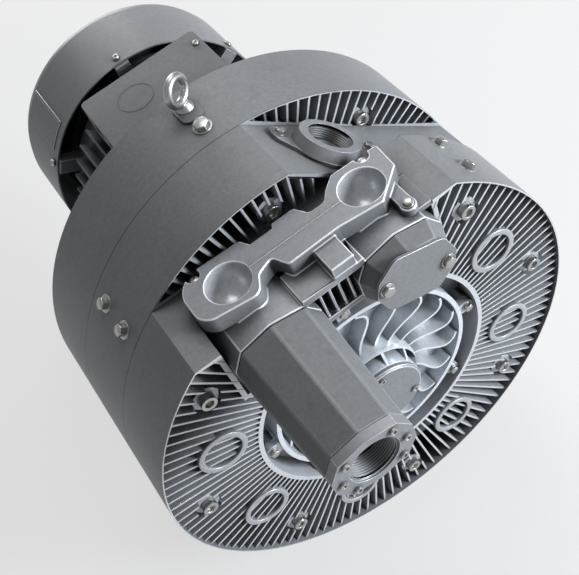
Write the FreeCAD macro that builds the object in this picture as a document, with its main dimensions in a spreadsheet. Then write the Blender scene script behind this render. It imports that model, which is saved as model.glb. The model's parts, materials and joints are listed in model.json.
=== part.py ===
import FreeCAD, Part
import math
import os

import Sketcher
from FreeCAD import Placement, Rotation, Vector

# Two-stage side channel blower with its flange motor, in millimetres.
# In the model's frame Z is up, the rotor axis is parallel to Y and the open front of the drum looks
# along -Y. The origin is on the ground, in the middle of the four foot holes.
# Each sub-part is drawn about the rotor axis, with Y counted from the plane of the drum's front rim.

doc = FreeCAD.newDocument("side_channel_blower")
sheet = doc.addObject("Spreadsheet::Sheet", "Dim")


class Size:
    """A length of the sheet, or one worked out from some: its number, and the expression for it."""

    def __init__(self, value, text):
        self.value = value
        self.text = text

    def __add__(self, other):
        other = as_size(other)
        return Size(self.value + other.value, "(%s + %s)" % (self.text, other.text))

    def __sub__(self, other):
        other = as_size(other)
        return Size(self.value - other.value, "(%s - %s)" % (self.text, other.text))

    def __mul__(self, other):
        other = as_size(other)
        return Size(self.value * other.value, "(%s * %s)" % (self.text, other.text))

    def __truediv__(self, other):
        other = as_size(other)
        return Size(self.value / other.value, "(%s / %s)" % (self.text, other.text))

    def __radd__(self, other):
        return as_size(other) + self

    def __rsub__(self, other):
        return as_size(other) - self

    def __rmul__(self, other):
        return as_size(other) * self

    def __neg__(self):
        return Size(-self.value, "(0 - %s)" % self.text)


def as_size(number):
    if isinstance(number, Size):
        return number
    return Size(float(number), "%g" % number)


def root(size):
    return Size(math.sqrt(size.value), "sqrt(%s)" % size.text)


def cosine(angle):
    angle = as_size(angle)
    return Size(math.cos(math.radians(angle.value)), "cos(%s * 1deg)" % angle.text)


def sine(angle):
    angle = as_size(angle)
    return Size(math.sin(math.radians(angle.value)), "sin(%s * 1deg)" % angle.text)


rows = []


def size(name, number):
    """Writes one driving dimension to the sheet and gives it back."""
    rows.append(name)
    row = len(rows)
    sheet.set("A%d" % row, name)
    sheet.set("B%d" % row, str(number))
    sheet.setAlias("B%d" % row, name)
    return Size(float(number), "Dim." + name)


# Where the blower stands
shaft_height = size("shaft_height", 275)
front_reach = size("front_reach", 300)

# Drum: three castings behind each other
drum_radius = size("drum_radius", 240)
skirt_wall = size("skirt_wall", 5)
front_depth = size("front_depth", 83)
middle_depth = size("middle_depth", 87)
rear_depth = size("rear_depth", 87)
platform_level = size("platform_level", 195)
tilted_level = size("tilted_level", 200)
tilt = size("tilt", 40)
pocket_depth = size("pocket_depth", 38)

# Cooling fins and bosses of the open faces
fin_count = size("fin_count", 120)
fin_thick = size("fin_thick", 2.2)
fin_front = size("fin_front", 3.6)
fin_floor = size("fin_floor", 44)
ring_radius = size("ring_radius", 137)
ring_wall = size("ring_wall", 5)
bolt_circle = size("bolt_circle", 206)
bolt_boss_radius = size("bolt_boss_radius", 13)
bolt_boss_front = size("bolt_boss_front", 8)
post_depth = size("post_depth", 9)
tube_circle = size("tube_circle", 176)
tube_radius = size("tube_radius", 26)
tube_wall = size("tube_wall", 3.5)
tube_front = size("tube_front", 1)
web_front = size("web_front", 32)
shaft_opening = size("shaft_opening", 30)

# Side channels and impellers
channel_pitch = size("channel_pitch", 165)
channel_radius = size("channel_radius", 18)
channel_sweep = size("channel_sweep", 332)
impeller_radius = size("impeller_radius", 184)
impeller_width = size("impeller_width", 30)
blade_root = size("blade_root", 146)
blade_count = size("blade_count", 40)
blade_thick = size("blade_thick", 3)
disc_thick = size("disc_thick", 10)
impeller_hub = size("impeller_hub", 38)
rim_thick = size("rim_thick", 6)
run_gap = size("run_gap", 0.5)
slip = size("slip", 0.05)

# Front cover with the curved vanes
cover_radius = size("cover_radius", 114.5)
cover_wall = size("cover_wall", 5)
cover_front = size("cover_front", 7)
cover_floor = size("cover_floor", 26)
lug_circle = size("lug_circle", 124)
lug_radius = size("lug_radius", 7.5)
lug_front = size("lug_front", 10)
lug_back = size("lug_back", 18)
vane_count = size("vane_count", 18)
vane_thick = size("vane_thick", 2.6)
vane_front = size("vane_front", 8)
hub_shoulder = size("hub_shoulder", 50)
hub_shoulder_front = size("hub_shoulder_front", 3)
cap_radius = size("cap_radius", 41)
cap_seat = size("cap_seat", -14)
cap_thick = size("cap_thick", 6)
cap_spigot = size("cap_spigot", 7)

# Manifold, silencer and ports
port_offset = size("port_offset", 66)
port_level = size("port_level", 161)
duct_half = size("duct_half", 46)
duct_side = size("duct_side", 11)
duct_shoulder = size("duct_shoulder", 33)
duct_shoulder_rise = size("duct_shoulder_rise", 31)
duct_ridge = size("duct_ridge", 38)
duct_front = size("duct_front", -8)
duct_back = size("duct_back", 45)
seat_gap = size("seat_gap", 1.5)
bay_half = size("bay_half", 20)
bay_back = size("bay_back", 31)
bridge_thick = size("bridge_thick", 7)
ledge_level = size("ledge_level", 145)
rib_thick = size("rib_thick", 3)
plate_thick = size("plate_thick", 20)
plate_back = size("plate_back", 72)
plate_front = size("plate_front", 15)
plate_waist = size("plate_waist", 35)
plate_end = size("plate_end", 112)
cup_offset = size("cup_offset", 72)
cup_place = size("cup_place", 43)
cup_radius = size("cup_radius", 21.5)
cup_sphere = size("cup_sphere", 22)
bowl_radius = size("bowl_radius", 25.5)
bowl_base = size("bowl_base", 183)
port_radius = size("port_radius", 22.4)
port_mouth = size("port_mouth", 24.2)
thread_length = size("thread_length", 24)
silencer_length = size("silencer_length", 129)
silencer_taper = size("silencer_taper", 0.86)
silencer_bore = size("silencer_bore", 29)
liner_inner = size("liner_inner", 21)
end_thick = size("end_thick", 10)
end_bolt_reach = size("end_bolt_reach", 31.5)
neck_length = size("neck_length", 20)
cover_plate_thick = size("cover_plate_thick", 3)
cover_bolt_reach = size("cover_bolt_reach", 33)
cover_tilt = size("cover_tilt", 17)
side_port_shift = size("side_port_shift", 62)
side_port_place = size("side_port_place", 41)
side_flange_thick = size("side_flange_thick", 4)
side_port_height = size("side_port_height", 15)
side_port_outer = size("side_port_outer", 31)
side_port_foot = size("side_port_foot", 36)
side_bolt_near = size("side_bolt_near", 48)
side_bolt_far = size("side_bolt_far", 40)

# Shaft line
shaft_front = size("shaft_front", -3)
front_journal = size("front_journal", 17.5)
front_bearing_outer = size("front_bearing_outer", 36)
front_bearing_width = size("front_bearing_width", 17)
front_bearing_place = size("front_bearing_place", 9)
impeller_seat = size("impeller_seat", 19)
sleeve_radius = size("sleeve_radius", 27)
motor_journal = size("motor_journal", 20)
motor_bearing_outer = size("motor_bearing_outer", 45)
motor_bearing_width = size("motor_bearing_width", 23)
drive_bearing_place = size("drive_bearing_place", 212)
tail_bearing_place = size("tail_bearing_place", 455)
rotor_seat = size("rotor_seat", 25)
fan_seat = size("fan_seat", 15)
shaft_length = size("shaft_length", 545)
key_width = size("key_width", 10)
key_height = size("key_height", 8)

# Motor
frame_inner = size("frame_inner", 110)
frame_outer = size("frame_outer", 118)
frame_end = size("frame_end", 455)
frame_flange_radius = size("frame_flange_radius", 140)
frame_flange_thick = size("frame_flange_thick", 12)
frame_fin_radius = size("frame_fin_radius", 133)
frame_fin_count = size("frame_fin_count", 40)
frame_fin_thick = size("frame_fin_thick", 3)
core_start = size("core_start", 290)
core_length = size("core_length", 120)
core_inner = size("core_inner", 70)
air_gap = size("air_gap", 0.6)
winding_reach = size("winding_reach", 22)
shield_thick = size("shield_thick", 25)
cowl_radius = size("cowl_radius", 150)
cowl_wall = size("cowl_wall", 2)
cowl_front = size("cowl_front", 468)
cowl_length = size("cowl_length", 117)
cowl_corner = size("cowl_corner", 24)
cowl_lug_count = size("cowl_lug_count", 6)
fan_radius = size("fan_radius", 128)
fan_place = size("fan_place", 498)
fan_width = size("fan_width", 44)
fan_blade_count = size("fan_blade_count", 7)
box_shift = size("box_shift", 9)
box_half = size("box_half", 78)
box_front = size("box_front", 296)
box_length = size("box_length", 141)
box_base = size("box_base", 112)
box_top = size("box_top", 147)
box_wall = size("box_wall", 4)
lid_thick = size("lid_thick", 8)

# Feet and lifting eye
foot_spread = size("foot_spread", 150)
foot_half = size("foot_half", 34)
foot_thick = size("foot_thick", 12)
foot_start = size("foot_start", 150)
foot_end = size("foot_end", 450)
foot_hole = size("foot_hole", 7)
foot_hole_reach = size("foot_hole_reach", 120)
foot_web = size("foot_web", 40)
foot_ear_top = size("foot_ear_top", 140)
eye_place = size("eye_place", 228)
eye_turn = size("eye_turn", 33)
eye_radius = size("eye_radius", 13.5)
eye_wire = size("eye_wire", 4.5)
eye_collar = size("eye_collar", 10)
eye_collar_height = size("eye_collar_height", 7)
eye_pad = size("eye_pad", 2.5)

doc.recompute()

middle_front = front_depth
rear_front = front_depth + middle_depth
drum_back = rear_front + rear_depth
skirt_inner = drum_radius - skirt_wall
ring_inner = ring_radius - ring_wall
half_wheel = impeller_width / 2
chamber_radius = impeller_radius + run_gap
first_face = front_depth - half_wheel - run_gap
first_rear_face = front_depth + half_wheel + run_gap
second_face = rear_front - half_wheel - run_gap
second_rear_face = rear_front + half_wheel + run_gap
platform_half = root(drum_radius * drum_radius - platform_level * platform_level)
tilted_half = root(drum_radius * drum_radius - tilted_level * tilted_level)
core_end = core_start + core_length
cowl_back = cowl_front + cowl_length
silencer_front = duct_front - silencer_length

sub_parts = []
REACH = 300
OVER = 1


def give(thing, field, number):
    """Sets one length of an object, bound to the sheet where it comes from there."""
    number = as_size(number)
    if "." not in field:
        setattr(thing, field, type(getattr(thing, field))(number.value)
                if isinstance(getattr(thing, field), int) else number.value)
    if "Dim." in number.text:
        thing.setExpression(field, number.text)


def settle(thing, label):
    """Names a finished sub-part and stands it on the rotor axis behind the front rim plane."""
    thing.Label = label
    thing.Placement = Placement(Vector(0, -front_reach.value, shaft_height.value), Rotation())
    thing.setExpression("Placement.Base.y", (-front_reach).text)
    thing.setExpression("Placement.Base.z", shaft_height.text)
    sub_parts.append(thing)
    return thing


def new_body(name):
    return doc.addObject("PartDesign::Body", name)


def datum(body, role):
    return [item for item in body.Origin.OriginFeatures if item.Role == role][0]


def drawing_on(body, name, plane, level=0, turn=0):
    """A sketch on the body's own plane. Level is Y on the facing plane, height on the flat one.

    On the plane XZ the turn is clockwise as seen from the front; on XY it swings the sketch up
    about the rotor axis from +X, and on YZ it swings the sketch's normal up from +X.
    """
    sketch = body.newObject("Sketcher::SketchObject", name)
    sketch.AttachmentSupport = [(datum(body, plane), "")]
    sketch.MapMode = "FlatFace"
    level = as_size(level)
    turn = as_size(turn)
    base = {"XZ_Plane": (0, 0, -level), "XY_Plane": (0, 0, level),
            "YZ_Plane": (0, level * sine(turn), level * cosine(turn))}[plane]
    axis = {"XZ_Plane": (0, 0, 1), "XY_Plane": (0, 1, 0), "YZ_Plane": (1, 0, 0)}[plane]
    spot = Vector(*[as_size(step).value for step in base])
    sketch.AttachmentOffset = Placement(spot, Rotation(Vector(*axis), -turn.value))
    for letter, step in zip("xyz", base):
        if "Dim." in as_size(step).text:
            sketch.setExpression("AttachmentOffset.Base." + letter, as_size(step).text)
    if "Dim." in turn.text:
        sketch.setExpression("AttachmentOffset.Rotation.Angle", (-turn).text)
    return sketch


def hold(sketch, kind, item, point, number):
    """One dimension of a sketch, from its origin to a point, bound to the sheet."""
    number = as_size(number)
    if kind == "Radius":
        index = sketch.addConstraint(Sketcher.Constraint(kind, item, number.value))
    else:
        index = sketch.addConstraint(Sketcher.Constraint(kind, -1, 1, item, point, number.value))
    if "Dim." in number.text:
        sketch.setExpression("Constraints[%d]" % index, number.text)


def outline(sketch, corners):
    """A closed outline of straight edges through the corners."""
    spots = [Vector(as_size(u).value, as_size(v).value, 0) for u, v in corners]
    count = len(spots)
    lines = [Part.LineSegment(spots[k], spots[(k + 1) % count]) for k in range(count)]
    first = sketch.addGeometry(lines, False)[0]
    sketch.addConstraint([Sketcher.Constraint("Coincident", first + k, 2, first + (k + 1) % count, 1)
                          for k in range(count)])
    for k, (u, v) in enumerate(corners):
        hold(sketch, "DistanceX", first + k, 1, u)
        hold(sketch, "DistanceY", first + k, 1, v)


def circle(sketch, u, v, radius):
    spot = Vector(as_size(u).value, as_size(v).value, 0)
    item = sketch.addGeometry(Part.Circle(spot, Vector(0, 0, 1), as_size(radius).value), False)
    hold(sketch, "DistanceX", item, 3, u)
    hold(sketch, "DistanceY", item, 3, v)
    hold(sketch, "Radius", item, 0, radius)


def rounded(sketch, corners, radius):
    """A closed outline whose corners are rounded; a corner may carry its own radius."""
    spots = [Vector(as_size(corner[0]).value, as_size(corner[1]).value, 0) for corner in corners]
    count = len(spots)
    arcs = []
    for k in range(count):
        bend = as_size(corners[k][2] if len(corners[k]) > 2 else radius).value
        before = (spots[k - 1] - spots[k]).normalize()
        after = (spots[(k + 1) % count] - spots[k]).normalize()
        half = before.getAngle(after) / 2
        reach = bend / math.tan(half)
        start = spots[k] + before * reach
        end = spots[k] + after * reach
        inward = (before + after).normalize()
        arcs.append((start, spots[k] + inward * (bend / math.sin(half) - bend), end))
    for k in range(count):
        start, peak, end = arcs[k]
        sketch.addGeometry(Part.Arc(start, peak, end), False)
        sketch.addGeometry(Part.LineSegment(end, arcs[(k + 1) % count][0]), False)


def cap_of_circle(sketch, radius, level):
    """The piece of a disc that lies above a level line."""
    start = math.asin(level.value / radius.value)
    arc = Part.ArcOfCircle(Part.Circle(Vector(0, 0, 0), Vector(0, 0, 1), radius.value),
                           start, math.pi - start)
    reach = radius.value * math.cos(start)
    chord = Part.LineSegment(Vector(-reach, level.value, 0), Vector(reach, level.value, 0))
    bow, line = sketch.addGeometry([arc, chord], False)
    sketch.addConstraint([Sketcher.Constraint("Coincident", bow, 3, -1, 1),
                          Sketcher.Constraint("Coincident", bow, 2, line, 1),
                          Sketcher.Constraint("Coincident", line, 2, bow, 1),
                          Sketcher.Constraint("Horizontal", line)])
    hold(sketch, "Radius", bow, 0, radius)
    hold(sketch, "DistanceY", line, 1, level)


def feature(body, kind, name, sketch):
    item = body.newObject("PartDesign::" + kind, name)
    item.Profile = sketch
    body.Tip = item
    return item


def pad(body, name, sketch, length, reverse=False, both=False):
    """Adds material along the sketch's normal, which is -Y on the plane XZ."""
    item = feature(body, "Pad", name, sketch)
    give(item, "Length", length)
    item.Reversed = reverse
    item.Midplane = both
    return item


def pocket(body, name, sketch, length, reverse=False):
    """Cuts against the sketch's normal, which is towards +Y on the plane XZ."""
    item = feature(body, "Pocket", name, sketch)
    give(item, "Length", length)
    item.Reversed = reverse
    return item


def revolve(body, name, sketch):
    item = feature(body, "Revolution", name, sketch)
    item.ReferenceAxis = (sketch, ["V_Axis"])
    item.Angle = 360
    return item


def around(body, name, items, count, angle=360):
    item = body.newObject("PartDesign::PolarPattern", name)
    item.Originals = items
    item.Axis = (datum(body, "Y_Axis"), [""])
    give(item, "Occurrences", count)
    give(item, "Angle", angle)
    body.Tip = item
    return item


def turned_body(label, corners):
    """A plain turned piece: its half section revolved about the rotor axis."""
    body = new_body(label)
    section = drawing_on(body, label + "_section", "XY_Plane")
    outline(section, corners)
    revolve(body, label + "_turned", section)
    return body


def ring_corners(inner, outer, start, end):
    return [(inner, start), (outer, start), (outer, end), (inner, end)]


def channel(body, name, face):
    """One half of a side channel. It stops short of a whole turn at the top, at the interrupter."""
    bore = drawing_on(body, name + "_sketch", "YZ_Plane")
    circle(bore, face, -channel_pitch, channel_radius)
    item = feature(body, "Groove", name, bore)
    item.ReferenceAxis = (bore, ["H_Axis"])
    give(item, "Angle", channel_sweep)
    item.Midplane = True
    return item


def fin_field(body, front, back, inner, count, start, sweep):
    """Thin radial fins in front of a floor.

    The first stands at the start angle, and the others follow clockwise as seen from the front.
    """
    fin = drawing_on(body, body.Name + "_fin_sketch", "XY_Plane", 0, start)
    outline(fin, [(inner, front), (skirt_inner + OVER, front), (skirt_inner + OVER, back + OVER),
                  (inner, back + OVER)])
    blade = pad(body, body.Name + "_fin", fin, fin_thick, both=True)
    around(body, body.Name + "_fins", [blade], count, sweep)


def discs(body, name, spots, radius, level, depth, make=None, turn=0, count=1):
    """Round pads or pockets that run from a level towards the motor, repeated about the axis."""
    make = make or pad
    sketch = drawing_on(body, name + "_sketch", "XZ_Plane", level, turn)
    for u, v in spots:
        circle(sketch, u, v, radius)
    item = make(body, name, sketch, depth, make is pad)
    if as_size(count).value > 1:
        around(body, name + "_set", [item], count)
    return item


def drill(body, name, spots, radius, level, depth, turn=0):
    return discs(body, name, spots, radius, level, depth, pocket, turn)


def joined(name, pieces):
    item = doc.addObject("Part::MultiFuse", name)
    item.Shapes = pieces
    return item


def cut_away(name, base, tool):
    item = doc.addObject("Part::Cut", name)
    item.Base = base
    item.Tool = tool
    return item


def ring_spots(radius, count, start=0, skip=()):
    return [(radius * cosine(start + 360 * k / count), radius * sine(start + 360 * k / count))
            for k in range(count) if k not in skip]


BOLT_SHANK = 5
BOLT_HOLE = 5.5
SKIRT_SEAT = 1.5
EIGHTH = 45

# Front casing: open dish of radial fins, flat platform on top, one half of the first side channel.
front_dish = turned_body("front_dish", [
    (shaft_opening, web_front), (ring_inner, web_front), (ring_inner, fin_front),
    (ring_radius, fin_front), (ring_radius, fin_floor), (skirt_inner, fin_floor), (skirt_inner, 0),
    (drum_radius, 0), (drum_radius, front_depth), (chamber_radius, front_depth),
    (chamber_radius, first_face), (shaft_opening, first_face)])
channel(front_dish, "front_channel", first_face)
fin_field(front_dish, fin_front, fin_floor, ring_radius - OVER, fin_count, 0, 360)

front_bosses = new_body("front_bosses")
tube = drawing_on(front_bosses, "tube_boss_sketch", "XZ_Plane", tube_front, 22.5)
circle(tube, tube_circle, 0, tube_radius)
circle(tube, tube_circle, 0, tube_radius - tube_wall)
tube_pad = pad(front_bosses, "tube_boss", tube, fin_floor - tube_front + OVER, True)
around(front_bosses, "tube_bosses", [tube_pad], 8)
discs(front_bosses, "post", [(bolt_circle, 0)], bolt_boss_radius, bolt_boss_front,
      fin_floor - bolt_boss_front + OVER, pad, 0, 8)
discs(front_bosses, "lug_post", [(lug_circle, 0)], lug_radius, lug_back,
      web_front - lug_back + OVER, pad, 0, 8)
seat_low = port_level - duct_ridge - seat_gap * 4
for side, name in ((-1, "left"), (1, "right")):
    inner_wall = side * (port_offset - duct_half - seat_gap - skirt_wall)
    outer_wall = side * (port_offset + duct_half + seat_gap + skirt_wall)
    block = drawing_on(front_bosses, name + "_seat_block_sketch", "XZ_Plane", tube_front * 4)
    outline(block, [(outer_wall, seat_low - skirt_wall), (side * ring_radius * cosine(50), seat_low - skirt_wall),
                    (side * ring_radius * cosine(65), ring_radius * sine(65)),
                    (side * ring_radius * cosine(80), ring_radius * sine(80)), (inner_wall, ring_radius),
                    (inner_wall, platform_level), (outer_wall, platform_level)])
    pad(front_bosses, name + "_seat_block", block, fin_floor, True)
deck = drawing_on(front_bosses, "platform_wall_sketch", "XZ_Plane")
outline(deck, [(-platform_half, platform_level - skirt_wall), (platform_half, platform_level - skirt_wall),
               (platform_half, platform_level), (-platform_half, platform_level)])
pad(front_bosses, "platform_wall", deck, fin_floor + OVER, True)

front_cuts = new_body("front_cuts")
above = drawing_on(front_cuts, "platform_sketch", "XZ_Plane", -OVER)
outline(above, [(-REACH, platform_level), (REACH, platform_level), (REACH, REACH), (-REACH, REACH)])
pad(front_cuts, "platform", above, front_depth + 2 * OVER, True)
seat_spots = []
for side, name in ((-1, "left"), (1, "right")):
    near = side * (port_offset - duct_half - seat_gap)
    far = side * (port_offset + duct_half + seat_gap)
    seat = drawing_on(front_cuts, name + "_duct_seat_sketch", "XZ_Plane", -OVER)
    outline(seat, [(near, seat_low), (far, seat_low), (far, platform_level + OVER),
                   (near, platform_level + OVER)])
    pad(front_cuts, name + "_duct_seat", seat, duct_back + OVER, True)
    seat_spots.append((side * port_offset, port_level))
    dimple = drawing_on(front_cuts, name + "_bowl_seat_sketch", "XY_Plane", bowl_base - OVER)
    circle(dimple, side * cup_offset, cup_place, bowl_radius + OVER)
    pad(front_cuts, name + "_bowl_seat", dimple, platform_level - bowl_base + 2 * OVER)
bay = drawing_on(front_cuts, "bridge_bay_sketch", "XZ_Plane", -OVER)
outline(bay, [(-bay_half, ring_radius), (bay_half, ring_radius), (bay_half, platform_level + OVER),
              (-bay_half, platform_level + OVER)])
pad(front_cuts, "bridge_bay", bay, bay_back + OVER, True)
discs(front_cuts, "channel_ports", seat_spots, port_radius - 2, duct_back - OVER, first_face - duct_back + 2)
discs(front_cuts, "post_clearing", [(bolt_circle, 0)], bolt_boss_radius + OVER, -OVER,
      bolt_boss_front + OVER, pad, 0, 8)
discs(front_cuts, "casing_screw_holes", ring_spots(bolt_circle, 8, 0, (2,)), BOLT_HOLE, 0,
      front_depth + OVER)
discs(front_cuts, "lug_holes", ring_spots(lug_circle, 8), 2.6, lug_back - OVER, 12)
for number, place in enumerate((26, 67)):
    spot = drawing_on(front_cuts, "front_skirt_seat_%d_sketch" % number, "YZ_Plane",
                      drum_radius - SKIRT_SEAT, EIGHTH)
    circle(spot, place, 0, 9)
    pad(front_cuts, "front_skirt_seat_%d" % number, spot, SKIRT_SEAT + OVER)
    spot = drawing_on(front_cuts, "front_skirt_tap_%d_sketch" % number, "YZ_Plane",
                      drum_radius - SKIRT_SEAT - 5, EIGHTH)
    circle(spot, place, 0, 3)
    pad(front_cuts, "front_skirt_tap_%d" % number, spot, 6)
front = cut_away("front_cut", joined("front_joined", [front_dish, front_bosses]), front_cuts)
settle(front, "front_casing")

# Middle casing: the wall between the stages, a finned crescent above the front platform and the
# tilted platform that carries the side port.
middle = turned_body("middle_casing", [
    (sleeve_radius + run_gap, first_rear_face), (chamber_radius, first_rear_face),
    (chamber_radius, middle_front), (drum_radius, middle_front), (drum_radius, rear_front),
    (chamber_radius, rear_front), (chamber_radius, second_face),
    (sleeve_radius + run_gap, second_face)])
channel(middle, "middle_front_channel", first_rear_face)
channel(middle, "middle_rear_channel", second_face)
crescent = drawing_on(middle, "middle_crescent_sketch", "XZ_Plane", middle_front)
cap_of_circle(crescent, skirt_inner, platform_level + OVER)
pocket(middle, "middle_crescent", crescent, pocket_depth)
fin_field(middle, middle_front + slip, middle_front + pocket_depth, chamber_radius + 5, 17, 126, 48)
discs(middle, "middle_post", [(0, bolt_circle)], bolt_boss_radius, middle_front + post_depth,
      pocket_depth - post_depth + OVER)
drill(middle, "middle_post_clearing", [(0, bolt_circle)], bolt_boss_radius + OVER, middle_front, post_depth)
tilted = drawing_on(middle, "tilted_platform_sketch", "XZ_Plane", middle_front, tilt)
outline(tilted, [(-REACH, tilted_level), (REACH, tilted_level), (REACH, REACH), (-REACH, REACH)])
pocket(middle, "tilted_platform", tilted, middle_depth)
tilted_wall = drawing_on(middle, "tilted_wall_sketch", "XZ_Plane", middle_front, tilt)
outline(tilted_wall, [(-tilted_half, tilted_level - skirt_wall), (0, tilted_level - skirt_wall),
                      (0, tilted_level), (-tilted_half, tilted_level)])
pad(middle, "tilted_wall", tilted_wall, pocket_depth + OVER, True)
port_spot = drawing_on(middle, "side_passage_sketch", "YZ_Plane", tilted_level + OVER, 90 - tilt)
circle(port_spot, middle_front + side_port_place, side_port_shift, port_radius - 4)
pocket(middle, "side_passage", port_spot, 34)
drill(middle, "middle_screw_taps", ring_spots(bolt_circle, 8, 0, (1, 2)), BOLT_SHANK, middle_front, 40)
drill(middle, "middle_top_hole", [(0, bolt_circle)], BOLT_HOLE, middle_front, middle_depth)
for number, place in enumerate((108, 148)):
    spot = drawing_on(middle, "skirt_seat_%d_sketch" % number, "YZ_Plane", drum_radius + OVER, 135)
    circle(spot, place, 0, 9)
    pocket(middle, "skirt_seat_%d" % number, spot, SKIRT_SEAT + OVER)
    spot = drawing_on(middle, "skirt_tap_%d_sketch" % number, "YZ_Plane", drum_radius, 135)
    circle(spot, place, 0, 3)
    pocket(middle, "skirt_tap_%d" % number, spot, SKIRT_SEAT + 5)
settle(middle, "middle_casing")

# Rear casing: second crescent of fins above the tilted platform, bearing seat and motor flange.
rear_pocket_floor = second_rear_face + channel_radius + 12
motor_seat_depth = drum_back - 8
rear = turned_body("rear_casing", [
    (sleeve_radius + run_gap, second_rear_face), (chamber_radius, second_rear_face),
    (chamber_radius, rear_front), (drum_radius, rear_front), (drum_radius, drum_back),
    (skirt_inner, drum_back), (skirt_inner, rear_pocket_floor),
    (frame_flange_radius, rear_pocket_floor), (frame_flange_radius, drum_back),
    (frame_inner - 2, drum_back), (frame_inner - 2, motor_seat_depth),
    (frame_inner - 10, motor_seat_depth), (frame_inner - 10, drive_bearing_place + motor_bearing_width),
    (motor_bearing_outer + slip, drive_bearing_place + motor_bearing_width),
    (motor_bearing_outer + slip, drive_bearing_place), (sleeve_radius + run_gap, drive_bearing_place)])
channel(rear, "rear_channel", second_rear_face)
rear_crescent = drawing_on(rear, "rear_crescent_sketch", "XZ_Plane", rear_front, tilt)
cap_of_circle(rear_crescent, skirt_inner, tilted_level + OVER)
pocket(rear, "rear_crescent", rear_crescent, pocket_depth)
fin_field(rear, rear_front + slip, rear_front + pocket_depth, chamber_radius + 5, 23, 83, 66)
corner_spot = [(bolt_circle * sine(45), bolt_circle * cosine(45))]
discs(rear, "rear_post", corner_spot, bolt_boss_radius, rear_front + post_depth, pocket_depth - post_depth + OVER)
drill(rear, "rear_post_clearing", corner_spot, bolt_boss_radius + OVER, rear_front, post_depth)
rib = drawing_on(rear, "rear_rib_sketch", "XY_Plane")
outline(rib, [(frame_flange_radius - OVER, rear_pocket_floor - OVER), (skirt_inner + OVER, rear_pocket_floor - OVER),
              (skirt_inner + OVER, drum_back - 14), (frame_flange_radius - OVER, drum_back - 4)])
rib_pad = pad(rear, "rear_rib", rib, 6, both=True)
around(rear, "rear_ribs", [rib_pad], 12)
foot_boss = drawing_on(rear, "foot_boss_sketch", "XZ_Plane", rear_pocket_floor - OVER)
for side in (-1, 1):
    circle(foot_boss, side * foot_spread, -foot_ear_top - 16, 15)
pad(rear, "foot_bosses", foot_boss, drum_back - rear_pocket_floor + OVER, True)
drill(rear, "rear_screw_taps", [(0, bolt_circle)] + corner_spot, BOLT_SHANK, rear_front, pocket_depth + 20)
foot_taps = drawing_on(rear, "foot_taps_sketch", "XZ_Plane", drum_back)
for side in (-1, 1):
    circle(foot_taps, side * foot_spread, -foot_ear_top - 16, BOLT_SHANK)
pocket(rear, "foot_taps", foot_taps, 20, True)
motor_taps = drawing_on(rear, "motor_taps_sketch", "XZ_Plane", drum_back)
for u, v in ring_spots((frame_flange_radius + frame_inner) / 2, 8, 22.5):
    circle(motor_taps, u, v, 4)
pocket(rear, "motor_taps", motor_taps, 20, True)
eye_seat = drawing_on(rear, "eye_seat_sketch", "XY_Plane", drum_radius - 4)
rounded(eye_seat, [(-11, eye_place - 22), (11, eye_place - 22), (13, eye_place + 12), (-13, eye_place + 12)], 9)
pad(rear, "eye_seat", eye_seat, 4 + eye_pad)
eye_tap = drawing_on(rear, "eye_tap_sketch", "XY_Plane", drum_radius + eye_pad + OVER)
circle(eye_tap, 0, eye_place, BOLT_SHANK)
circle(eye_tap, 0, eye_place - 34, BOLT_SHANK)
pocket(rear, "eye_tap", eye_tap, 24 + eye_pad)
settle(rear, "rear_casing")

# Front cover: a shallow dish with curved vanes round the bearing hub, held by eight lugs.
hub_bore = front_bearing_outer + slip
bearing_stop = front_bearing_place + front_bearing_width
dish = turned_body("cover_dish", [
    (impeller_seat + 8, web_front), (impeller_seat + 8, bearing_stop), (hub_bore, bearing_stop),
    (hub_bore, cap_seat), (cap_radius, cap_seat), (hub_shoulder, hub_shoulder_front),
    (hub_shoulder, cover_floor), (cover_radius - cover_wall, cover_floor),
    (cover_radius - cover_wall, cover_front), (cover_radius, cover_front), (cover_radius, web_front)])
lug = drawing_on(dish, "lug_sketch", "XZ_Plane", lug_front)
circle(lug, lug_circle, 0, lug_radius)
lug_pad = pad(dish, "lug", lug, lug_back - lug_front, True)
arm = drawing_on(dish, "lug_arm_sketch", "XZ_Plane", lug_front)
outline(arm, [(cover_radius - cover_wall / 2, -lug_radius), (lug_circle, -lug_radius),
              (lug_circle, lug_radius), (cover_radius - cover_wall / 2, lug_radius)])
arm_pad = pad(dish, "lug_arm", arm, lug_back - lug_front, True)
around(dish, "lugs", [lug_pad, arm_pad], 8)
drill(dish, "cover_lug_holes", ring_spots(lug_circle, 8), 3.2, lug_front, lug_back - lug_front)

VANE_STATIONS = ((0.0, 6.0), (0.16, 4.4), (0.34, 0.4), (0.5, -3.4), (0.63, -5.7), (0.75, -6.7),
                 (0.84, -6.4), (0.93, -4.2), (1.0, 0.4))


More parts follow.
